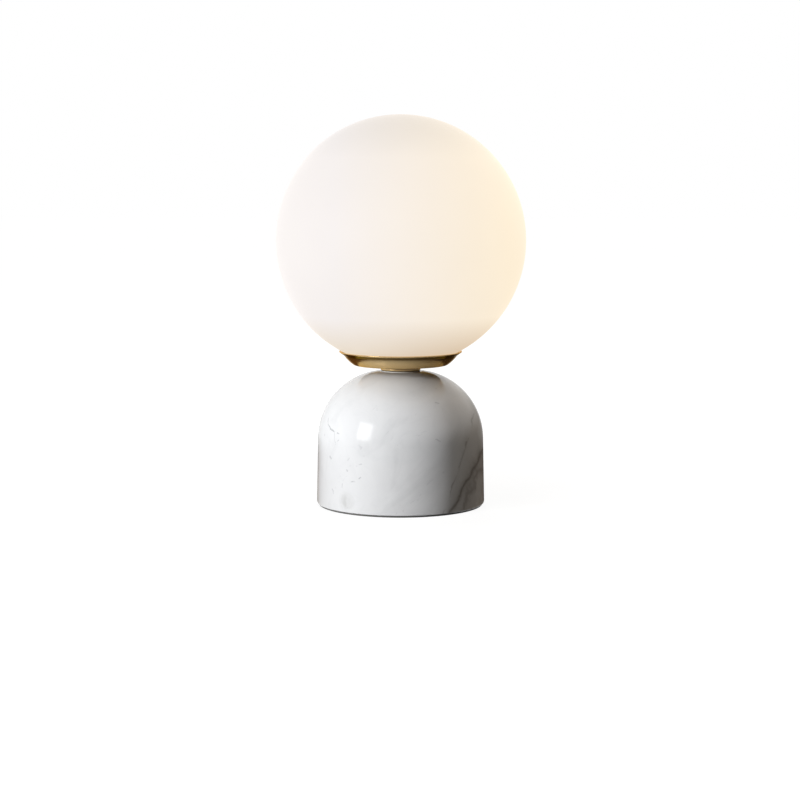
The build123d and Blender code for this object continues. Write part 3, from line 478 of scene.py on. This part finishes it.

# %% [markdown]
# ## Metals
#
# Every metal here was turned, pressed or plated, and they differ in colour, in how rough they are and in how
# strong the tool's rings are. So one short function makes them all from the two shared groups: the rings tilt the
# surface, and soft mottling keeps the colour from being one flat tone. On the brass, which shows most, the rings
# also stretch every highlight across themselves, so it is given some anisotropy, turned a quarter. A colour ramp
# over the height paints light and shade into the brass. It puts a painted highlight on the dish's lip and painted
# shade on the side below the lip, with a dark line under the lip, and just above and below the collar's band. Its
# specular tint keeps such a dark part brown at a glancing angle too, where bare metal would mirror plain white.


# %% Metals
def turned_metal(name, colour, roughness, ring_size, ring_height, tarnish):
    """A metal with lathe rings and slight uneven tarnish."""
    material, tree, bsdf = start_material(name, colour, roughness, metallic=1.0)
    marks = place_group(
        tree, turning, Ring_size=ring_size, Height=ring_height, Roughness=roughness,
        Roughness_spread=0.5 * roughness,
    )
    film = place_group(tree, mottle, Colour=(*colour, 1.0), Patch_size=45.0, Depth=tarnish)
    tree.links.new(film.outputs["Colour"], bsdf.inputs["Base Color"])
    tree.links.new(marks.outputs["Roughness"], bsdf.inputs["Roughness"])
    tree.links.new(marks.outputs["Normal"], bsdf.inputs["Normal"])
    return material


finishes = {"marble": marble, "opal_glass": opal}
for name, colour, roughness, ring_size, ring_height, tarnish in [
    ("brass", (0.85, 0.63, 0.33), 0.2, 1800.0, 0.000004, 0.05),
    ("zinc_steel", (0.62, 0.62, 0.6), 0.32, 1200.0, 0.000006, 0.1),
    ("spring_steel", (0.68, 0.67, 0.64), 0.24, 900.0, 0.000003, 0.06),
    ("aluminium_rivet", (0.78, 0.78, 0.78), 0.3, 1500.0, 0.000003, 0.05),
    ("nickel", (0.72, 0.7, 0.66), 0.14, 1100.0, 0.000002, 0.04),
    ("tinned_copper", (0.7, 0.66, 0.6), 0.34, 800.0, 0.000006, 0.12),
]:
    finishes[name] = turned_metal(name, colour, roughness, ring_size, ring_height, tarnish)
brass_tree = finishes["brass"].node_tree
brass_bsdf = brass_tree.nodes["Principled BSDF"]
brass_bsdf.inputs["Anisotropic"].default_value = 0.5
brass_bsdf.inputs["Anisotropic Rotation"].default_value = 0.25
brass_bsdf.inputs["Specular Tint"].default_value = (0.9, 0.66, 0.34, 1.0)

# Each stop of the painted shade ramp: height above the table, share of the brass's brightness that is left
shade_ramp_low, shade_ramp_high = 0.105, 0.125
brass_height = axis_of(brass_tree, object_space(brass_tree), "Z")
painted_shade_ramp = add_node(brass_tree, "ShaderNodeValToRGB", Fac=remap(brass_tree, brass_height, shade_ramp_low, shade_ramp_high))
painted_shade_stops = [
    (0.1084, 0.78), (0.1085, 0.15), (0.109, 0.15), (0.1091, 0.78), (0.1107, 0.78), (0.1108, 0.22), (0.1128, 0.22),
    (0.1132, 0.86), (0.117, 0.78), (0.1194, 0.6), (0.1204, 0.42), (0.1209, 0.14), (0.1226, 0.14), (0.1231, 1.0),
]
painted_shade_ramp.color_ramp.elements[0].color = (0.76, 0.76, 0.76, 1.0)
for height, level in painted_shade_stops:
    painted_shade_ramp.color_ramp.elements.new((height - shade_ramp_low) / (shade_ramp_high - shade_ramp_low)).color = (level, level, level, 1.0)
# The ramp's painted shade and painted highlight scale the brass's colour by height.
polished = brass_bsdf.inputs["Base Color"].links[0].from_socket
brass_tree.links.new(times(brass_tree, polished, painted_shade_ramp.outputs["Color"]), brass_bsdf.inputs["Base Color"])
print("metals made:", len(finishes) - 2)

# %% [markdown]
# ## Moulded and fired materials
#
# The lampholder, the bulb's body, the wiring and the boards are moulded plastic, ceramic, glass or rubber. Seen
# close, such a surface has a fine grain from its mould and a colour that is not quite even. The mottled group
# gives both, with its own scale and depth for each material.


# %% Moulded materials
def moulded(name, colour, roughness, grain_size, grain_height, depth=0.04):
    """A plastic, ceramic, rubber or glass surface with a fine grain."""
    material, tree, bsdf = start_material(name, colour, roughness)
    skin = place_group(
        tree, mottle, Colour=(*colour, 1.0), Patch_size=50.0, Depth=depth, Roughness=roughness,
        Roughness_spread=0.2 * roughness, Grain_size=grain_size, Grain_height=grain_height,
    )
    for output, socket in (("Colour", "Base Color"), ("Roughness", "Roughness"), ("Normal", "Normal")):
        tree.links.new(skin.outputs[output], bsdf.inputs[socket])
    return material


for name, colour, roughness, grain_size, grain_height, depth in [
    ("nylon", (0.86, 0.84, 0.78), 0.42, 900.0, 0.00001, 0.04),
    ("black_plastic", (0.035, 0.035, 0.035), 0.38, 1400.0, 0.00002, 0.12),
    ("white_plastic", (0.88, 0.88, 0.86), 0.22, 600.0, 0.000006, 0.02),
    ("porcelain", (0.88, 0.86, 0.8), 0.12, 260.0, 0.00001, 0.04),
    ("black_glass", (0.02, 0.02, 0.025), 0.08, 200.0, 0.000008, 0.1),
    ("silicone", (0.82, 0.82, 0.8), 0.5, 800.0, 0.00001, 0.03),
    ("brown_insulation", (0.22, 0.1, 0.05), 0.45, 1100.0, 0.00001, 0.08),
    ("blue_insulation", (0.06, 0.2, 0.5), 0.45, 1100.0, 0.00001, 0.08),
    ("board_white", (0.85, 0.86, 0.85), 0.35, 700.0, 0.000008, 0.02),
]:
    finishes[name] = moulded(name, colour, roughness, grain_size, grain_height, depth)
print("finishes so far:", len(finishes))

# %% [markdown]
# ## Felt
#
# The pad under the foot is pressed felt. Its edge is all that shows: a dark line that takes up light in its
# fibres and gives almost none back. Long thin noise gives the fibres, sheen gives the soft rim that cloth has.

# %% Felt
felt, tree, bsdf = start_material("felt", (0.07, 0.068, 0.065), 0.95)
space = object_space(tree)
combed = add_node(tree, "ShaderNodeMapping", Vector=space, Scale=(1.0, 3.0, 6.0)).outputs["Vector"]
fibres = noise(tree, combed, 900.0, detail=8.0, roughness=0.75, distortion=2.0)
tree.links.new(blend_colours(tree, fibres, (0.06, 0.058, 0.055), (0.17, 0.165, 0.155)), bsdf.inputs["Base Color"])
tree.links.new(bump(tree, fibres, 0.0002), bsdf.inputs["Normal"])
bsdf.inputs["Sheen Weight"].default_value = 0.35
bsdf.inputs["Sheen Roughness"].default_value = 0.6
finishes["felt"] = felt
print("felt nodes:", len(tree.nodes))

# %% [markdown]
# ## Striped wire, circuit board, light-emitting chips and the bulb's cover
#
# The last four finishes have something of their own. The earth wire is green with a yellow stripe down its length.
# The driver board has copper tracks under its lacquer. The chips are yellow phosphor that shines, and the bulb's
# frosted cover shines with their light, warmer than the globe because less glass has whitened it.

# %% Special finishes
stripes = moulded("green_insulation", (0.3, 0.52, 0.1), 0.45, 1100.0, 0.00001)
tree = stripes.node_tree
sideways = axis_of(tree, object_space(tree), "X")
in_stripe = remap(tree, maths(tree, "ABSOLUTE", sideways), 0.00045, 0.00055, 1.0, 0.0)
striped = blend_colours(tree, in_stripe, (0.05, 0.27, 0.06), (0.85, 0.66, 0.04))
tree.links.new(striped, tree.nodes["Principled BSDF"].inputs["Base Color"])
finishes["green_insulation"] = stripes

board = moulded("board_green", (0.05, 0.25, 0.12), 0.3, 500.0, 0.00001)
tree = board.node_tree
tracks = add_node(
    tree, "ShaderNodeTexBrick", Vector=object_space(tree), Scale=260.0, Color1=(0.02, 0.16, 0.07, 1.0),
    Color2=(0.03, 0.2, 0.09, 1.0), Mortar=(0.07, 0.36, 0.16, 1.0), Mortar_Size=0.03,
)
tree.links.new(tracks.outputs["Color"], tree.nodes["Principled BSDF"].inputs["Base Color"])
finishes["board_green"] = board

chips = moulded("led_phosphor", (0.93, 0.78, 0.25), 0.3, 400.0, 0.00001)
chip_bsdf = chips.node_tree.nodes["Principled BSDF"]
chip_bsdf.inputs["Emission Color"].default_value = (1.0, 0.84, 0.5, 1.0)
chip_bsdf.inputs["Emission Strength"].default_value = 2.0
finishes["led_phosphor"] = chips

frosted = moulded("diffuser_plastic", (0.5, 0.49, 0.46), 0.5, 500.0, 0.00001)
tree = frosted.node_tree
lit = remap(tree, axis_of(tree, object_space(tree), "Z"), bulb_low.z, bulb_high.z, 0.6, 1.0)
cover_glow = blend_colours(tree, lit, (0.3, 0.2, 0.1), (0.72, 0.6, 0.42))
cover_bsdf = tree.nodes["Principled BSDF"]
tree.links.new(cover_glow, cover_bsdf.inputs["Emission Color"])
cover_bsdf.inputs["Emission Strength"].default_value = 1.0
finishes["diffuser_plastic"] = frosted
print("finishes:", len(finishes))

# %% [markdown]
# Now each engineering piece gets its finish. The record says which material slot every piece uses, so the pieces
# are dressed by looking the slot up, and nothing is left with a plain colour.

# %% Dress the engineering pieces
for subpart in frame["record"]["subparts"]:
    node = frame["nodes"][subpart["node"]]
    node.material_slots[0].material = finishes[subpart["material_slot"]]

# %% [markdown]
# ## Turning on a lathe
#
# Every large piece of this lamp is round about one upright axis. In a workshop they are turned, spun or blown, and
# in Blender the matching tool is Spin: half of a cross-section is drawn as a chain of points beside the axis, and
# Spin sweeps it round. The chain starts from a plane that is merged to one point, and each further point is an
# extrusion of the last. Where the chain meets the axis its points are merged, so that the pole is closed.


# %% Lathe helpers
smooth_limit = radians(32)
doubles_limit = 0.000002


def arc(centre, radius, start, end, steps):
    """Points on an arc of a cross-section, from one angle to another in degrees, 0 outwards and 90 up."""
    angles = [radians(start + (end - start) * step / steps) for step in range(steps + 1)]
    return [(centre[0] + radius * cos(angle), centre[1] + radius * sin(angle)) for angle in angles]


def turned(name, outline, steps=192, closed=True):
    """Spins an outline of (distance from axis, height) points round the axis and returns the new object."""
    bpy.ops.object.select_all(action="DESELECT")
    bpy.ops.mesh.primitive_plane_add(size=0.01, location=(0, 0, 0))
    piece = bpy.context.object
    piece.name = name
    bpy.ops.object.mode_set(mode="EDIT")
    bpy.ops.mesh.select_all(action="SELECT")
    bpy.ops.mesh.merge(type="CENTER")
    bpy.ops.transform.translate(value=(outline[0][0], 0, outline[0][1]))
    points = outline + outline[:1] if closed else outline
    for start, end in zip(points, points[1:]):
        step = (end[0] - start[0], 0, end[1] - start[1])
        bpy.ops.mesh.extrude_region_move(TRANSFORM_OT_translate={"value": step})
    bpy.ops.mesh.select_all(action="SELECT")
    bpy.ops.mesh.spin(steps=steps, angle=2 * pi, center=(0, 0, 0), axis=(0, 0, 1))
    bpy.ops.mesh.select_all(action="SELECT")
    bpy.ops.mesh.remove_doubles(threshold=doubles_limit)
    bpy.ops.mesh.normals_make_consistent(inside=False)
    bpy.ops.object.mode_set(mode="OBJECT")
    return piece


def pick(piece):
    """Makes a piece the only selected and the active one."""
    bpy.ops.object.select_all(action="DESELECT")
    piece.select_set(True)
    bpy.context.view_layer.objects.active = piece


def finish(piece, material, body, stands_for):
    """Shades a new piece smooth, dresses it, hangs it under the body it rides on, and hides the piece it stands for.
    """
    pick(piece)
    bpy.ops.object.shade_smooth_by_angle(angle=smooth_limit)
    piece.data.materials.clear()
    piece.data.materials.append(material)
    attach(piece, body)
    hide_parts(stands_for)
    print(piece.name, "has", len(piece.data.polygons), "faces")


def apply_modifier(piece, kind, **settings):
    """Adds a modifier to a piece, sets it and applies it."""
    pick(piece)
    modifier = piece.modifiers.new(kind.title(), kind)
    for key, value in settings.items():
        setattr(modifier, key, value)
    bpy.ops.object.modifier_apply(modifier=modifier.name)


print("lathe helpers ready")

# %% [markdown]
# ## The marble foot
#
# The foot is a stone cylinder with a slight draft, rounded over into a dome and ground flat where the collar
# stands. Its outline runs up the outside, down the drilled hole and round the hollow for the wiring. The three
# sockets for the base's screws and the seat for the gland are then cut with boolean modifiers, as a drill would.

# %% Foot outline
draft = 1.2
dome_radius = 0.05502
dome_drop = 0.000328
edge_round = 0.0009
plate_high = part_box("base_plate")[1]
plate_clearance = 0.0005
recess_radius = plate_high.x + plate_clearance
hollow_radius = 0.034
hollow_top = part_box("foot_washer")[1].z
bore_radius = 0.0055

dome_height = marble_high.z + dome_drop - dome_radius
dome_inset = foot_radius - (dome_height - marble_low.z) * radians(draft) - dome_radius
flat_angle = 90 - degrees(acos((marble_high.z - dome_height) / dome_radius))
edge_inset = edge_round * 1.02
edge_centre = (foot_radius - edge_inset, marble_low.z + edge_round)
foot_outline = (
    arc(edge_centre, edge_round, -90, draft, 8)
    + arc((dome_inset, dome_height), dome_radius, draft, flat_angle, 72)
    + [
        (bore_radius, marble_high.z),
        (bore_radius, hollow_top),
        (hollow_radius, hollow_top),
        (hollow_radius, plate_high.z),
        (recess_radius, plate_high.z),
        (recess_radius, marble_low.z),
    ]
)
print("foot outline:", len(foot_outline), "points, dome from", round(dome_height * 1000, 1), "mm up")

# %% Marble foot
foot = turned("marble_foot", foot_outline, steps=256)


def drill(piece, radius, length, location, tilt=0.0):
    """Cuts a round hole in a piece, centred at a place, upright or tilted about X."""
    bpy.ops.object.select_all(action="DESELECT")
    bpy.ops.mesh.primitive_cylinder_add(
        vertices=48, radius=radius, depth=length, location=location, rotation=(tilt, 0, 0)
    )
    cutter = bpy.context.object
    bpy.ops.object.transform_apply(location=True, rotation=True, scale=True)
    apply_modifier(piece, "BOOLEAN", operation="DIFFERENCE", object=cutter, solver="EXACT")
    bpy.data.objects.remove(cutter)


insert_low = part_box("plate_inserts")[0]
insert_radius = 0.003
socket_radius = 0.0031
socket_length = 0.0086
socket_rise = 0.0042
socket_circle = -insert_low.y - insert_radius
for angle in (30, 150, 270):
    turn = radians(angle)
    place = (socket_circle * cos(turn), socket_circle * sin(turn), insert_low.z + socket_rise)
    drill(foot, socket_radius, socket_length, place)

gland_low, gland_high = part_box("flex_gland")
gland_height = (gland_low.z + gland_high.z) / 2
gland_hole_radius, gland_hole_length = 0.005, 0.04
gland_seat_radius, seat_cut = 0.0076, 0.01
flange_thickness = 0.002
hole_middle = foot_radius - 0.01
seat_middle = gland_high.y - flange_thickness + seat_cut / 2
drill(foot, gland_hole_radius, gland_hole_length, (0, hole_middle, gland_height), pi / 2)
drill(foot, gland_seat_radius, seat_cut, (0, seat_middle, gland_height), pi / 2)
finish(foot, marble, "base", "marble_base")

# %% [markdown]
# ## The felt pad and the collar
#
# Both are small, but both draw a line in the picture: the pad a thin dark one under the stone, the collar a
# bright one between stone and dish. The pad's edge is rounded and soft. The collar is turned with a slimmer neck
# above and a small step below, so that its one bright band stands between two lines of shade. Painted shade from
# the brass's height ramp darkens those lines further.

# %% Felt pad
pad_round = 0.0005
pad_outline = (
    [(0.0, pad_low.z)]
    + arc((pad_radius - pad_round, pad_low.z + pad_round), pad_round, -90, 0, 5)
    + arc((pad_radius - pad_round, pad_high.z - pad_round), pad_round, 0, 90, 5)
    + [(0.0, pad_high.z)]
)
pad = turned("felt_pad", pad_outline, closed=False)
finish(pad, felt, "base", "base_pad")

# %% Collar
collar_bore = 0.0051
band_edge = 0.0003
band_low = collar_low.z + 0.0006
band_high = collar_low.z + 0.0023
neck_radius = 0.0144
foot_of_collar = 0.015
collar_outline = (
    [(collar_bore, collar_low.z), (foot_of_collar, collar_low.z), (foot_of_collar, band_low)]
    + arc((collar_radius - band_edge, band_low + band_edge), band_edge, -90, 0, 5)
    + arc((collar_radius - band_edge, band_high - band_edge), band_edge, 0, 90, 5)
    + [(neck_radius, band_high), (neck_radius, collar_high.z), (collar_bore, collar_high.z)]
)
collar = turned("turned_collar", collar_outline)
finish(collar, finishes["brass"], "base", "neck_collar")

# %% [markdown]
# ## The spun dish
#
# The dish was spun: a brass disc is pressed over a turning form until it lies on it. That leaves one even wall with
# a flat floor, a soft corner and a bowed side. Near the top the side turns out into a thin flaring lip. In the
# picture the lip's rounded edge shows as a bright line, and its underside, which mirrors only the dish's own side,
# as a dark one just below. The brass's height ramp adds a painted highlight to the edge and painted shade to the
# underside. The outline follows the outside first and comes back along the inside, one wall away.

# %% Dish outline
floor_radius = 0.0376
floor_round = 0.0024
side_bow = 0.03
lip_start = (0.0456, 0.1207)
lip_round = 0.0004
lip_bend = 0.0012
least_gap = 0.0002
lip_centre = (dish_rim_radius - lip_round, dish_high.z - lip_round)
tube_hole = 0.0051


def bowed_side(bottom, top, radius, steps):
    """Points on an arc between two points that bulges outwards, away from the axis."""
    span = Vector((top[0] - bottom[0], 0, top[1] - bottom[1]))
    middle = Vector((bottom[0] + top[0], 0, bottom[1] + top[1])) / 2
    inward = Vector((-span.z, 0, span.x)).normalized() * sqrt(radius**2 - (span.length / 2) ** 2)
    centre = middle + inward
    start = atan2(bottom[1] - centre.z, bottom[0] - centre.x)
    end = atan2(top[1] - centre.z, top[0] - centre.x)
    return arc((centre.x, centre.z), radius, degrees(start), degrees(end), steps)


def soft_corner(before, corner, after, radius, steps):
    """Points on an arc that rounds the corner between two runs of an outline."""
    corner = Vector(corner)
    back, ahead = (Vector(before) - corner).normalized(), (Vector(after) - corner).normalized()
    half = back.angle(ahead) / 2
    centre = corner + (back + ahead).normalized() * radius / sin(half)
    start, end = (corner + way * radius / tan(half) - centre for way in (back, ahead))
    sweep = atan2(start.x * end.y - start.y * end.x, start.dot(end))
    first = atan2(start.y, start.x)
    return arc(centre, radius, degrees(first), degrees(first + sweep), steps)


side = bowed_side((floor_radius, dish_low.z), lip_start, side_bow, 30)
to_lip = Vector(lip_centre) - Vector(lip_start)
under_slope = atan2(to_lip.y, to_lip.x) - asin(lip_round / to_lip.length)
lip = arc(lip_centre, lip_round, degrees(under_slope) - 90, degrees(under_slope) + 90, 16)
floor_corner = soft_corner((tube_hole, dish_low.z), side[0], side[1], floor_round, 10)
lip_corner = soft_corner(side[-2], lip_start, lip[0], lip_bend, 6)
lowest, highest = floor_corner[-1][1] + least_gap, lip_corner[0][1] - least_gap
bowed = [point for point in side if lowest < point[1] < highest]
outside = floor_corner + bowed + lip_corner
print("dish side:", len(outside), "points, lip slope", round(degrees(under_slope), 1), "degrees")

# %% Spun dish
inside = []
for before, point, after in zip(outside, outside[1:], outside[2:] + lip[:1]):
    across_wall = Vector((before[1] - after[1], after[0] - before[0])).normalized() * dish_wall
    inside.append((point[0] + across_wall.x, point[1] + across_wall.y))
inside = [point for point in inside if point[1] >= dish_low.z + dish_wall]
dish_outline = (
    [(tube_hole, dish_low.z)]
    + outside
    + lip
    + inside[::-1]
    + [(tube_hole, dish_low.z + dish_wall)]
)
dish = turned("spun_dish", dish_outline, steps=256)
finish(dish, finishes["brass"], "base", "dish")

# %% [markdown]
# ## The opal globe and the bulb's cover
#
# Both are thin shells with one opening. The globe is blown, its hole is drilled straight through and the cut edge
# is melted round in a flame. The outline goes up the outside from the hole to the pole and back down the inside,
# and Bevel then rounds the two edges of the hole.

# %% Opal globe
hole_radius = 0.033
hole_round = 0.0009
globe_middle = (0.0, globe_centre)
inner_radius = globe_radius - globe_wall
outer_start = -degrees(acos(hole_radius / globe_radius))
inner_start = -degrees(acos(hole_radius / inner_radius))
globe_outline = (
    arc(globe_middle, globe_radius, outer_start, 90, 96)
    + arc(globe_middle, inner_radius, 90, inner_start, 72)
)
globe = turned("opal_globe", globe_outline)
apply_modifier(globe, "BEVEL", width=hole_round, segments=4, limit_method="ANGLE", angle_limit=radians(50))
finish(globe, opal, "globe", "glass_globe")

# %% Bulb cover
cover_radius = bulb_high.x
cover_wall = 0.0012
cover_middle = (0.0, bulb_high.z - cover_radius)
cover_edge = bulb_low.z - cover_middle[1]
cover_inside = cover_radius - cover_wall
cover_outline = (
    arc(cover_middle, cover_radius, degrees(asin(cover_edge / cover_radius)), 90, 48)
    + arc(cover_middle, cover_inside, 90, degrees(asin(cover_edge / cover_inside)), 36)
)
cover = turned("bulb_cover", cover_outline, steps=96)
finish(cover, finishes["diffuser_plastic"], "bulb", "bulb_diffuser")

# %% [markdown]
# ## The floor and the white around it
#
# The photograph has nothing but white round the lamp. Light Path lets a surface answer each kind of ray in its
# own way: to the camera, and to rays that polished metal or glass sends out, the floor and the world are white.
# To the soft light that falls on the lamp they are dim, because the picture's dark side is dark. A share of the
# floor's white is real reflected light, so the lamp still stands in a faint shadow of its own. Close to the lamp
# the white is also turned down a little, a painted shade round its foot.


# %% Floor and world
def shows_white(tree):
    """1 for camera, glossy and transmission rays, and 0 for the rest."""
    path = add_node(tree, "ShaderNodeLightPath").outputs
    seen = maths(tree, "MAXIMUM", path["Is Camera Ray"], path["Is Glossy Ray"])
    return maths(tree, "MAXIMUM", seen, path["Is Transmission Ray"])


def bare_material(name):
    """A material with an empty node tree. Returns the material and the tree."""
    material = bpy.data.materials.new(name)
    material.use_nodes = True
    material.node_tree.nodes.clear()
    return material, material.node_tree


floor_material, tree = bare_material("pale_floor")
floor_space = object_space(tree)
paper = remap(tree, noise(tree, floor_space, 40.0, detail=6.0), 0.3, 0.7, 0.14, 0.16)
matt = add_node(tree, "ShaderNodeBsdfDiffuse", Color=paper)
away = vector_maths(tree, "LENGTH", floor_space, output="Value")
# Painted shade: the floor's white is dimmer within a hand's width of the lamp.
floor_white_with_painted_shade = remap(tree, away, 0.1, 0.35, 0.92, 1.0)
white = add_node(tree, "ShaderNodeEmission", Strength=maths(tree, "MULTIPLY", shows_white(tree), floor_white_with_painted_shade))
both = add_node(tree, "ShaderNodeAddShader", _0=matt.outputs[0], _1=white.outputs[0])
add_node(tree, "ShaderNodeOutputMaterial", Surface=both.outputs[0])

bpy.ops.object.select_all(action="DESELECT")
bpy.ops.mesh.primitive_plane_add(size=24, location=(0, 0, 0))
floor = bpy.context.object
floor.name = "floor"
floor.data.materials.append(floor_material)

world = bpy.data.worlds.new("white_room")
bpy.context.scene.world = world
world.use_nodes = True
tree = world.node_tree
room_light = remap(tree, shows_white(tree), 0.0, 1.0, 0.02, 1.0)
tree.nodes["Background"].inputs["Color"].default_value = (1.0, 1.0, 1.0, 1.0)
tree.links.new(room_light, tree.nodes["Background"].inputs["Strength"])
print("floor and world are white to the camera")

# %% [markdown]
# ## The lights
#
# Daylight comes in low from the left and a little from the front, and almost nothing answers it on the right: the
# polished stone goes from nearly white to dark grey within a hand's width. So a narrow key light of cool white
# stands close at the left. Weak ones help it at the stone's left edge and on its dome, a warm one reaches over the
# right shoulder, and one behind keeps the back from going black. None of them is mirrored. What the stone mirrors
# is one bright window, a panel that matt surfaces don't see, so its brightness can be set apart from their light.


# %% Lights
aim_height = 0.11


def add_panel(name, azimuth, elevation, distance, width, height, power, colour):
    """A rectangular light aimed at the axis. Azimuth is degrees to the right of the camera's side."""
    data = bpy.data.lights.new(name, "AREA")
    data.shape = "RECTANGLE"
    data.size, data.size_y = width, height
    data.energy, data.color = power, colour
    light = bpy.data.objects.new(name, data)
    turn, rise = radians(azimuth), radians(elevation)
    outwards = Vector((sin(turn) * cos(rise), -cos(turn) * cos(rise), sin(rise)))
    light.location = Vector((0, 0, aim_height)) + outwards * distance
    light.rotation_euler = (-outwards).to_track_quat("-Z", "Y").to_euler()
    bpy.context.scene.collection.objects.link(light)
    return light


# Each light: name, azimuth, elevation, distance, width, height, power, colour
for settings in [
    ("key_light", -49, 4, 0.9, 0.1, 0.26, 6.6, (0.97, 0.985, 1.0)),
    ("side_light", -112, 12, 2.0, 0.5, 0.5, 4.5, (0.97, 0.985, 1.0)),
    ("high_light", -36, 27, 1.8, 0.4, 0.4, 6.4, (0.98, 0.99, 1.0)),
    ("warm_fill", 108, 46, 1.6, 0.6, 0.6, 6, (1.0, 0.88, 0.74)),
    ("back_light", 180, 28, 2.0, 0.7, 0.6, 10, (1.0, 0.97, 0.93)),
]:
    add_panel(*settings).visible_glossy = False
window = add_panel("window", -52, 15.5, 2.0, 0.72, 0.89, 9, (1.0, 1.0, 1.0))
window.visible_diffuse = False

# %% [markdown]
# ## What the brass and the polish mirror
#
# Metal shows hardly any colour of its own: it shows the room. In an all-white room brass looks like yellow paint.
# So a sheet lies round the lamp and stands up far away, and only mirrored rays see it. Its tones are a painted
# reflection: a dim room, paler far off on the left and behind and fading to white upwards, and close by a warm,
# dark table with a painted shadow of the lamp on it. Two colour ramps give its tone by direction, one for the floor
# near the lamp and one for the far part.

# %% Surround sheet
surround, tree = bare_material("painted_room_reflection")
space = object_space(tree)
axes = add_node(tree, "ShaderNodeSeparateXYZ", Vector=space)
direction = maths(tree, "ARCTAN2", axes.outputs["X"], maths(tree, "MULTIPLY", axes.outputs["Y"], -1.0))
place = remap(tree, direction, -pi, pi)
sheet_reach = vector_maths(tree, "LENGTH", space, output="Value")


def tone_ramp(tree, place, stops):
    """A colour that changes through stops, each a direction in degrees and a colour."""
    ramp = add_node(tree, "ShaderNodeValToRGB", Fac=place)
    elements = ramp.color_ramp.elements
    elements[0].color = (*stops[0][1], 1.0)
    elements[1].color = (*stops[-1][1], 1.0)
    for degree, colour in stops[1:-1]:
        elements.new((degree + 180) / 360).color = (*colour, 1.0)
    return ramp.outputs["Color"]


# Painted shadow: the dark tones close by stand for the lamp's shadow on the table, darkest on the right.
near_painted_shadow = tone_ramp(tree, place, [
    (-180, (0.06, 0.045, 0.035)), (-140, (0.15, 0.085, 0.04)), (-95, (0.15, 0.09, 0.045)),
    (-65, (0.28, 0.2, 0.13)), (0, (0.26, 0.18, 0.12)), (45, (0.15, 0.1, 0.06)), (90, (0.05, 0.03, 0.02)),
    (180, (0.06, 0.045, 0.035)),
])
far_painted_room = tone_ramp(tree, place, [
    (-180, (0.95, 0.95, 0.95)), (-150, (0.9, 0.9, 0.9)), (-115, (0.85, 0.84, 0.83)),
    (-66, (0.66, 0.65, 0.64)), (-28, (0.5, 0.48, 0.46)), (0, (0.38, 0.36, 0.33)), (44, (0.22, 0.2, 0.18)),
    (84, (0.13, 0.115, 0.1)), (130, (0.13, 0.12, 0.11)),
    (155, (0.3, 0.29, 0.28)), (180, (0.92, 0.92, 0.92)),
])
tones = blend_colours(tree, remap(tree, sheet_reach, 0.3, 0.5), near_painted_shadow, far_painted_room)
tones = blend_colours(tree, remap(tree, axes.outputs["Z"], 0.08, 0.8), tones, (1.0, 1.0, 1.0))
glow = add_node(tree, "ShaderNodeEmission", Color=tones, Strength=1.0)
add_node(tree, "ShaderNodeOutputMaterial", Surface=glow.outputs[0])

sheet_start, sheet_end, sheet_height, sheet_wall = 0.07, 2.5, 0.0006, 0.9
sheet_outline = [
    (sheet_start, sheet_height), (sheet_end, sheet_height), (sheet_end, sheet_height + sheet_wall),
]
sheet = turned("painted_reflection_card", sheet_outline, steps=128, closed=False)
sheet.data.materials.append(surround)
sheet.visible_camera = sheet.visible_diffuse = sheet.visible_shadow = sheet.visible_transmission = False
print("surround sheet:", len(sheet.data.polygons), "faces")
